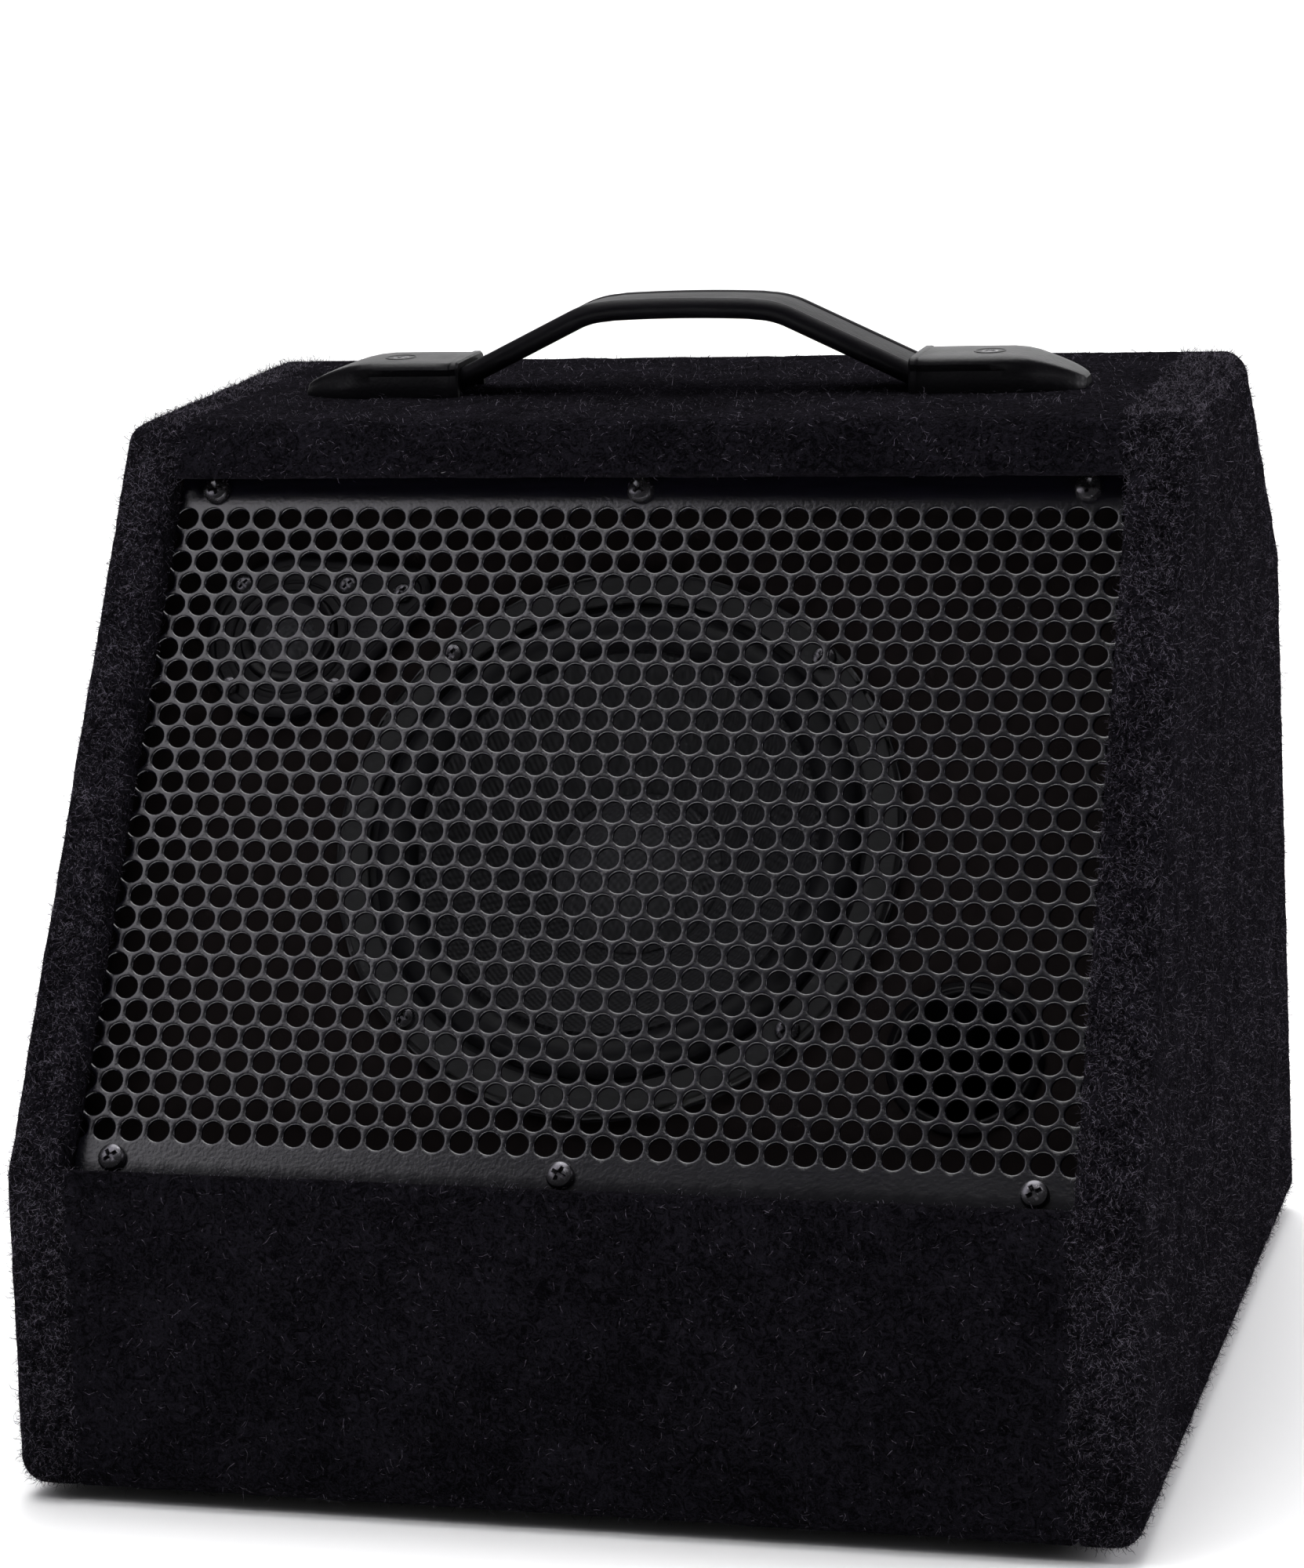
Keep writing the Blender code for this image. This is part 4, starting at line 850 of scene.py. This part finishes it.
def build_woofer():
    here = seat(WOOFER_AT)
    rim_low, rim_high = 0.0016, 0.0035
    basket = [(0.0736, 0.0008), (0.0736, rim_high - 0.0004), (0.0740, rim_high)]
    basket += [(0.0820, rim_high), (0.0825, rim_high - 0.0006), (0.0825, rim_low)]
    basket += [(0.0731, rim_low), (0.0660, -0.0197), (0.0470, -0.0470), (0.0196, -0.0470)]
    basket += [(0.0196, -0.0452), (0.0461, -0.0452), (0.0642, -0.0188), (0.0681, 0.0010)]
    turned("woofer_front_ring", basket[:7], "frame", here, slot="grille_steel")
    ring = arc((0.0732, 0.0042), 0.0006, 180, 90, 3) + arc((0.0804, 0.0042), 0.0006, 90, 0, 3)
    ring = [(0.0726, 0.0036), *ring, (0.0810, 0.0036)]
    turned("woofer_face_gasket", ring, "foam", here, slot="gasket_foam")
    roll = [(0.0733, 0.0014), (0.0733, 0.0024), (0.0712, 0.0024)]
    centre, radius = 0.06445, 0.0062
    roll += arc((centre, 0.0022), radius, 0, 180, 22)
    roll += [(0.0580, 0.0020), (0.0580, 0.0013)]
    roll += arc((centre, 0.0016), radius - 0.0007, 180, 0, 16)
    roll += [(0.0708, 0.0014)]
    turned(
        "woofer_roll", roll, "rubber", here, closed=True, slot="rubber", stands_for=["woofer_surround"],
    )
    cone = [(0.0584, 0.0024), (0.0572, 0.0030), (0.0562, 0.0022)]
    for step in range(13):
        share = step / 12
        radius = 0.0556 + (0.0238 - 0.0556) * share
        sag = -0.0016 * math.sin(math.pi * share)
        cone.append((radius, 0.0018 + (-0.0248 - 0.0018) * share + sag))
    cone += [(0.0169, -0.0318), (0.0169, -0.0326), (0.0240, -0.0262), (0.0400, -0.0112), (0.0576, 0.0012)]
    cone += [(0.0584, 0.0018)]
    turned(
        "woofer_cone_face", cone, "pulp", here, closed=True, slot="cone_paper",
        body="cone_assembly", stands_for=["woofer_cone"],
    )
    dome = [(0.0246, -0.0242), (0.0242, -0.0236)]
    for step in range(17):
        share = 1 - step / 16
        reach = 0.0236 * share
        dome.append((reach, -0.0236 + 0.0078 * (1 - share ** 2.1)))
    turned(
        "woofer_cap_dome", dome, "dome", here, slot="cone_paper",
        body="cone_assembly", stands_for=["woofer_dust_cap"],
    )
    mesh = screw_mesh(0.0036, 0.0020)
    for number in range(4):
        angle = math.radians(45 + 90 * number)
        place = here @ Matrix.Translation((0.0781 * math.cos(angle), 0.0781 * math.sin(angle), 0.0046))
        drive_screw(f"woofer_screw_{number}", mesh, place, rng.random())


def teardrop(radius, ear, ear_radius, steps):
    distance, heading = math.hypot(*ear), math.atan2(ear[1], ear[0])
    spread = math.acos((radius - ear_radius) / distance)
    points = []
    for centre, size, start, sweep in (
        ((0.0, 0.0), radius, heading + spread, 2 * (math.pi - spread)),
        (ear, ear_radius, heading - spread, 2 * spread),
    ):
        for step in range(steps + 1):
            angle = start + sweep * step / steps
            points.append((centre[0] + size * math.cos(angle), centre[1] + size * math.sin(angle)))
    return points


def build_tweeter():
    here = seat(TWEETER_AT)
    ear = (0.0333, 0.0140)
    high = 0.0048
    steps = 40
    stack = [(0.0, 0.0003), (0.0, high - 0.0014), (-0.0004, high - 0.0004), (-0.0013, high)]
    stack += [(-0.0030, high), (-0.0036, high - 0.0006), (-0.0046, high - 0.0006)]
    rows = [
        [(x, y, z) for x, y in teardrop(0.026 + grow, ear, 0.0088 + grow, steps)]
        for grow, z in stack
    ]
    from_bmesh(
        "tweeter_face", lofted(rows, cap=True), "plastic", slot="black_plastic",
        stands_for=["tweeter_plate"], turn=40, place=here,
    )
    z = high - 0.0005
    horn = [(0.0098, z - 0.0030), (0.0104, z - 0.0006), (0.0116, z + 0.0004), (0.0126, z + 0.0010)]
    horn += arc((0.0138, z + 0.0004), 0.0009, 120, 0, 5) + [(0.0150, z - 0.0001), (0.0162, z)]
    horn += arc((0.0176, z - 0.0001), 0.0005, 180, 0, 4) + [(0.0196, z), (0.0204, z - 0.0003)]
    turned("tweeter_horn_rings", horn, "plastic", here, slot="black_plastic")
    dome = []
    for step in range(13):
        share = 1 - step / 12
        dome.append((0.0094 * share, 0.0032 + 0.0034 * (1 - share ** 2)))
    turned(
        "tweeter_dome_face", dome, "dome", here, slot="dome_cloth", sides=64,
        body="tweeter_diaphragm", stands_for=["tweeter_dome"],
    )
    mesh = screw_mesh(0.0030, 0.0017)
    spots = [(x * 0.0162, y * 0.0162) for x in (-1, 1) for y in (-1, 1)] + [ear]
    for number, (x, y) in enumerate(spots):
        place = here @ Matrix.Translation((x, y, high - 0.0005))
        drive_screw(f"tweeter_screw_{number}", mesh, place, rng.random())


def build_port():
    here = seat(PORT_AT)
    section = [(0.0220, 0.0003), (0.0220, 0.0010), (0.0215, 0.0016), (0.0202, 0.0023)]
    section += arc((0.0196, 0.0012), 0.0014, 75, 180, 5)
    section += [(0.0180, -0.0030), (0.0179, -0.0400), (0.0179, -0.0880), (0.0195, -0.0880), (0.0195, 0.0003)]
    turned(
        "port_flare", section, "plastic", here, closed=True, slot="black_plastic", stands_for=["port_tube"],
    )


# ------------------------------------------------------------------ handle

CAP_STATIONS = (
    # share of the length, base half width, top half width, height, shoulder
    (0.000, 14.6, 11.6, 10.0, 2.0),
    (0.012, 15.1, 12.0, 10.5, 2.4),
    (0.045, 15.1, 12.0, 10.5, 2.4),
    (0.060, 14.8, 11.8, 10.2, 2.3),
    (0.300, 14.8, 11.8, 10.3, 2.3),
    (0.540, 14.8, 11.7, 10.3, 2.3),
    (0.620, 14.7, 11.2, 10.0, 2.2),
    (0.690, 14.4, 9.9, 9.4, 2.0),
    (0.760, 13.7, 8.4, 8.4, 1.8),
    (0.830, 12.4, 7.2, 7.2, 1.6),
    (0.900, 10.6, 6.2, 5.8, 1.4),
    (0.950, 8.8, 5.2, 4.6, 1.2),
    (0.985, 7.0, 4.2, 3.5, 1.0),
    (1.000, 5.6, 3.2, 2.6, 0.8),
)


CAP_INNER_MM, CAP_RUN_MM, CAP_SCREW_X = 69.0, 51.0, 0.091


def cap_ring(half, top_half, height, shoulder):
    """Half section of a cap from its base to the middle of its top, then mirrored."""
    side = [(-half, 0.0), (-half, height * 0.22), (-half + (half - top_half) * 0.10, height * 0.42)]
    lean = half - top_half
    corner = (-top_half - 0.2, height - shoulder)
    side.append((-half + lean * 0.35, height * 0.62))
    for angle in (170, 150, 130, 110, 95):
        turn = math.radians(angle)
        side.append((corner[0] + shoulder * math.cos(turn), corner[1] + shoulder * math.sin(turn)))
    side.append((-top_half * 0.6, height + 0.05))
    side.append((0.0, height + 0.10))
    return side + [(-y, z) for y, z in reversed(side[:-1])]


def build_caps():
    mesh = screw_mesh(0.0038, 0.0022, countersunk=True)
    for hand, word in ((-1, "left"), (1, "right")):
        bm = bmesh.new()
        stations = []
        for first, second in zip(CAP_STATIONS, CAP_STATIONS[1:]):
            for step in range(3):
                stations.append([p + (q - p) * step / 3 for p, q in zip(first, second)])
        stations.append(list(CAP_STATIONS[-1]))
        rings = []
        for share, half, top_half, height, shoulder in stations:
            x = hand * (CAP_INNER_MM + CAP_RUN_MM * share)
            ring = cap_ring(half, top_half, height, shoulder)
            rings.append([bm.verts.new((x / 1000, y / 1000, z / 1000)) for y, z in ring])
        skin(bm, rings, wrap=False)
        bm.faces.new(rings[-1])
        outer = rings[0]
        inner = []
        for vert in outer:
            y, z = vert.co.y * 1000, vert.co.z * 1000
            inner.append(bm.verts.new((vert.co.x, y * 0.865 / 1000, max(z - 1.5, 0.0) / 1000)))
        deep = [bm.verts.new((vert.co.x + hand * 0.016, vert.co.y, vert.co.z)) for vert in inner]
        skin(bm, [row[::-1] for row in (outer, inner, deep)], wrap=False)
        bmesh.ops.recalc_face_normals(bm, faces=bm.faces)
        from_bmesh(
            f"handle_cap_{word}_shell", bm, "plastic", slot="black_plastic",
            stands_for=[f"handle_cap_{word}"], turn=32, place=TOP_PLANE,
        )
        place = TOP_PLANE @ Matrix.Translation((hand * CAP_SCREW_X, 0.0, 0.0100))
        drive_screw(
            f"handle_screw_{word}_head", mesh, place, rng.random() + 0.4, stands_for=[f"handle_screw_{word}"],
        )
        dish = [(0.0050, 0.0), (0.0049, 0.0003), (0.0046, 0.0005), (0.0043, 0.0004), (0.0040, 0.0001)]
        rim = TOP_PLANE @ Matrix.Translation((hand * CAP_SCREW_X, 0.0, 0.0101))
        turned(f"handle_dish_{word}", dish, "plastic", rim, sides=48, slot="black_plastic")


def strap_section():
    """Two rolled edges with a flatter, finely ribbed web between them; (y, z) in millimetres."""
    right = []
    for angle in range(-100, 101, 20):
        turn = math.radians(angle)
        right.append((9.0 + 3.0 * math.cos(turn), 3.1 * math.sin(turn)))
    right += [(8.0, 2.75), (7.6, 2.35), (7.1, 2.35), (6.8, 2.75), (3.0, 2.85), (0.0, 2.9)]
    left_top = [(-y, z) for y, z in reversed(right[:-1])]
    under = [(-6.0, -2.6), (0.0, -2.6), (6.0, -2.6)]
    return right + left_top + under


def build_strap():
    for hand, word in ((-1, "left"), (1, "right")):
        rise, level, run = 20.0, 4.7, 40.0
        slope = math.atan2(rise, run)
        path = []
        for step in range(0, 9):
            path.append((step * 2.6, level + rise + 0.9 * (1 - (step * 2.6 / 26.0) ** 2) * 0.8, 0.0))
        turn_steps = 8
        for step in range(1, turn_steps + 1):
            share = step / turn_steps
            angle = slope * share
            radius = 26.0
            path.append((
                21.9 + radius * math.sin(angle), level + rise - radius * (1 - math.cos(angle)), angle,
            ))
        last_x, last_z, _ = path[-1]
        end_x, end_z = 70.5, level - 0.4
        for step in range(1, 13):
            share = step / 12
            path.append((last_x + (end_x - last_x) * share, last_z + (end_z - last_z) * share, slope))
        spine = [Vector((x, z)) for x, z, _ in path]
        section = strap_section()
        points = []
        for index, point in enumerate(spine):
            before, after = spine[max(index - 1, 0)], spine[min(index + 1, len(spine) - 1)]
            tangent = (after - before).normalized() if index else Vector((1.0, 0.0))
            normal = Vector((-tangent.y, tangent.x))
            for y, z in section:
                place = point + normal * z
                points.append((hand * place.x / 1000, y / 1000, place.y / 1000))
        faces = strip_faces(len(spine), len(section), False, True)
        last = len(points) - len(section)
        faces.append(tuple(range(last, len(points))))
        mesh_piece = piece(
            f"strap_half_{word}", points, faces, "strap", body=None, slot="strap_vinyl",
            turn=45, place=TOP_PLANE,
        )
        fix_normals(mesh_piece)
        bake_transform(mesh_piece)
        nodes = [f"strap_leg_{word}"] + (["strap_grip"] if hand < 0 else [])
        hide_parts(*nodes)


def fix_normals(obj):
    bm = bmesh.new()
    bm.from_mesh(obj.data)
    bmesh.ops.recalc_face_normals(bm, faces=bm.faces)
    bm.to_mesh(obj.data)
    bm.free()


# ------------------------------------------------------------------ feet and connector plate

def build_feet():
    inset_x, front_y = HALF - 0.032, 0.032
    spots = {
        "front_left": (-inset_x, front_y), "front_right": (inset_x, front_y),
        "back_left": (-inset_x, DEPTH - 0.064), "back_right": (inset_x, DEPTH - 0.064),
    }
    section = [(0.0, -0.0036), (0.0030, -0.0036), (0.0036, -0.0040), (0.0078, -0.0040)]
    section += [(0.0087, -0.0038), (0.0094, -0.0032), (0.0099, -0.0006), (0.0100, -0.0003), (0.0, -0.0003)]
    for word, (x, y) in spots.items():
        place = SHIFT @ Matrix.Translation((x, y, 0.0))
        turned(
            f"foot_{word}_pad", section, "rubber", place, sides=48, slot="rubber",
            stands_for=[f"foot_{word}"],
        )


NUT_SECTION = (
    (0.0058, 0.0024), (0.0078, 0.0024), (0.0080, 0.0028), (0.0080, 0.0036),
    (0.0076, 0.0042), (0.0058, 0.0042),
)


def build_connectors():
    level = -0.020
    rows = []
    lips = (
        (0.0, 0.0003), (0.0, 0.0017), (-0.0003, 0.0021), (-0.0009, 0.0023), (-0.0040, 0.0023),
    )
    for grow, z in lips:
        half_w, half_h, radius = 0.043 + grow, 0.026 + grow, max(0.004 + grow, 0.0008)
        outline = []
        for cx, cy, start in ((1, 1, 0), (-1, 1, 90), (-1, -1, 180), (1, -1, 270)):
            for step in range(7):
                angle = math.radians(start + 15 * step)
                outline.append((
                    cx * (half_w - radius) + radius * math.cos(angle),
                    level + cy * (half_h - radius) + radius * math.sin(angle),
                    z,
                ))
        rows.append(outline)
    from_bmesh(
        "connector_plate", lofted(rows, cap=True), "frame", slot="grille_steel",
        stands_for=["jack_plate"], turn=35, place=BACK_PLANE,
    )
    mesh = screw_mesh(0.0032, 0.0018)
    for number, (x, y) in enumerate(((-1, -1), (1, -1), (1, 1), (-1, 1))):
        place = BACK_PLANE @ Matrix.Translation((x * 0.0375, level + y * 0.0205, 0.0023))
        drive_screw(f"connector_screw_{number}", mesh, place, rng.random())
    for side, word in ((1, "input"), (-1, "link")):
        place = BACK_PLANE @ Matrix.Translation((side * 0.018, level, 0.0))
        bush = [(0.0036, -0.0100), (0.0036, 0.0046), (0.0040, 0.0052), (0.0051, 0.0053), (0.0055, 0.0049)]
        bush += [(0.0055, 0.0024), (0.0056, -0.0100)]
        turned(
            f"jack_barrel_{word}", bush, "nickel", place, sides=64, closed=True, slot="nickel_brass",
            stands_for=[f"jack_bush_{word}"],
        )
        rows = []
        for radius, z in NUT_SECTION:
            ring = []
            for step in range(36):
                angle = 2 * math.pi * step / 36
                folded = (angle + math.pi / 6) % (math.pi / 3) - math.pi / 6
                hex_reach = radius * math.cos(math.pi / 6) / math.cos(folded)
                reach = radius if radius < 0.006 else hex_reach
                ring.append((reach * math.cos(angle), reach * math.sin(angle), z))
            rows.append(ring)
        from_bmesh(f"jack_nut_{word}", lofted(rows), "nickel", slot="nickel_brass", turn=30, place=place)


# ------------------------------------------------------------------ stage, light and camera

def build_stage():
    floor = bpy.data.meshes.new("floor")
    wide, near, far, bend, high = 9.0, -12.0, 2.2, 0.8, 4.0
    line = [(near, 0.0), (far, 0.0)]
    turns = [math.radians(angle) for angle in range(10, 91, 10)]
    line += [(far + bend * math.sin(turn), bend * (1 - math.cos(turn))) for turn in turns]
    line.append((far + bend, high))
    points = [(x, y, z) for y, z in line for x in (-wide, wide)]
    faces = [(2 * k, 2 * k + 1, 2 * k + 3, 2 * k + 2) for k in range(len(line) - 1)]
    floor.from_pydata(points, [], faces)
    floor.shade_smooth()
    obj = bpy.data.objects.new("floor", floor)
    bpy.context.scene.collection.objects.link(obj)
    paper = Finish("pale_paper", Roughness=0.9, Specular_IOR_Level=0.1)
    tone = paper.grain(3.0, 2.0, 0.5)
    paper.colour(tone, (0.945, 0.945, 0.945), (0.965, 0.965, 0.965))
    floor.materials.append(paper.material)


def area_light(name, place, target, size, power, tint=(1.0, 1.0, 1.0), spread=180):
    light = bpy.data.lights.new(name, "AREA")
    light.shape = "RECTANGLE"
    light.size, light.size_y = size
    light.energy = power
    light.color = tint
    light.spread = math.radians(spread)
    obj = bpy.data.objects.new(name, light)
    bpy.context.scene.collection.objects.link(obj)
    obj.location = place
    aim = Vector(target) - Vector(place)
    obj.rotation_euler = aim.to_track_quat("-Z", "Y").to_euler()


def build_light():
    world = bpy.data.worlds.new("studio")
    bpy.context.scene.world = world
    world.use_nodes = True
    world.node_tree.nodes["Background"].inputs["Color"].default_value = (1.0, 1.0, 1.0, 1.0)
    world.node_tree.nodes["Background"].inputs["Strength"].default_value = 0.09
    middle = (0.0, 0.0, 0.18)
    area_light("overhead", (-0.15, 0.05, 1.8), middle, (1.5, 1.1), 34.0)
    area_light("floor_wash", (0.2, -1.15, 1.3), (0.2, -1.15, 0.0), (1.8, 0.6), 30.0, spread=70)
    area_light("grille_card", (-0.88, -0.95, 1.50), (0.0, -0.10, 0.22), (0.76, 1.20), 8.5, (0.96, 0.94, 1.0))
    area_light("side_card", (1.9, 0.3, 0.9), middle, (0.9, 1.1), 23.0, (0.97, 0.95, 1.0))
    area_light("backdrop_wash", (0.0, 1.6, 2.6), (0.0, 2.6, 0.6), (3.0, 0.6), 78.0)
    view = bpy.context.scene.view_settings
    view.view_transform = "Standard"
    view.look = "None"
    view.exposure = 0.0


def build_camera():
    right = Vector((0.9675, 0.2518, -0.0251)).normalized()
    back = Vector((0.2526, -0.9551, 0.1551)).normalized()
    up = back.cross(right).normalized()
    right = up.cross(back).normalized()
    camera = bpy.data.cameras.new("camera")
    camera.sensor_fit = "VERTICAL"
    camera.sensor_height = 36.0
    camera.lens = 95.76
    camera.clip_start = 0.05
    camera.clip_end = 30.0
    obj = bpy.data.objects.new("camera", camera)
    bpy.context.scene.collection.objects.link(obj)
    axes = Matrix((right, up, back)).transposed().to_4x4()
    obj.matrix_world = SHIFT @ Matrix.Translation((0.30665, -1.04041, 0.37173)) @ axes
    bpy.context.scene.camera = obj


def finish_nodes():
    """Every node that still shows gets the finish of its slot."""
    slots = {entry["node"]: entry["material_slot"] for entry in frame["record"]["subparts"]}
    stained = ("baffle", "batten", "top_panel", "kick_panel", "side_panel")
    for name, obj in frame["nodes"].items():
        finish = FINISH[NODE_FINISH[slots[name]]]
        if name.startswith(stained):
            finish = FINISH["baffle"]
        for material_slot in obj.material_slots:
            material_slot.material = finish


build_camera()
finish_nodes()
carpet = build_carpet()
# the 9.0 crowds pale fibres on the strip edges: wear plus painted light
scatter_fibres("carpet_fuzz", carpet, 190000, 0.0019, 0.00012, "fibre", 0.65, 9.0)
scatter_fibres("carpet_lint", carpet, 110, 0.0018, 0.00016, "lint", 0.4)
build_grille()
grille_screws()
build_woofer()
build_tweeter()
build_port()
build_caps()
build_strap()
build_feet()
build_connectors()
build_stage()
build_light()
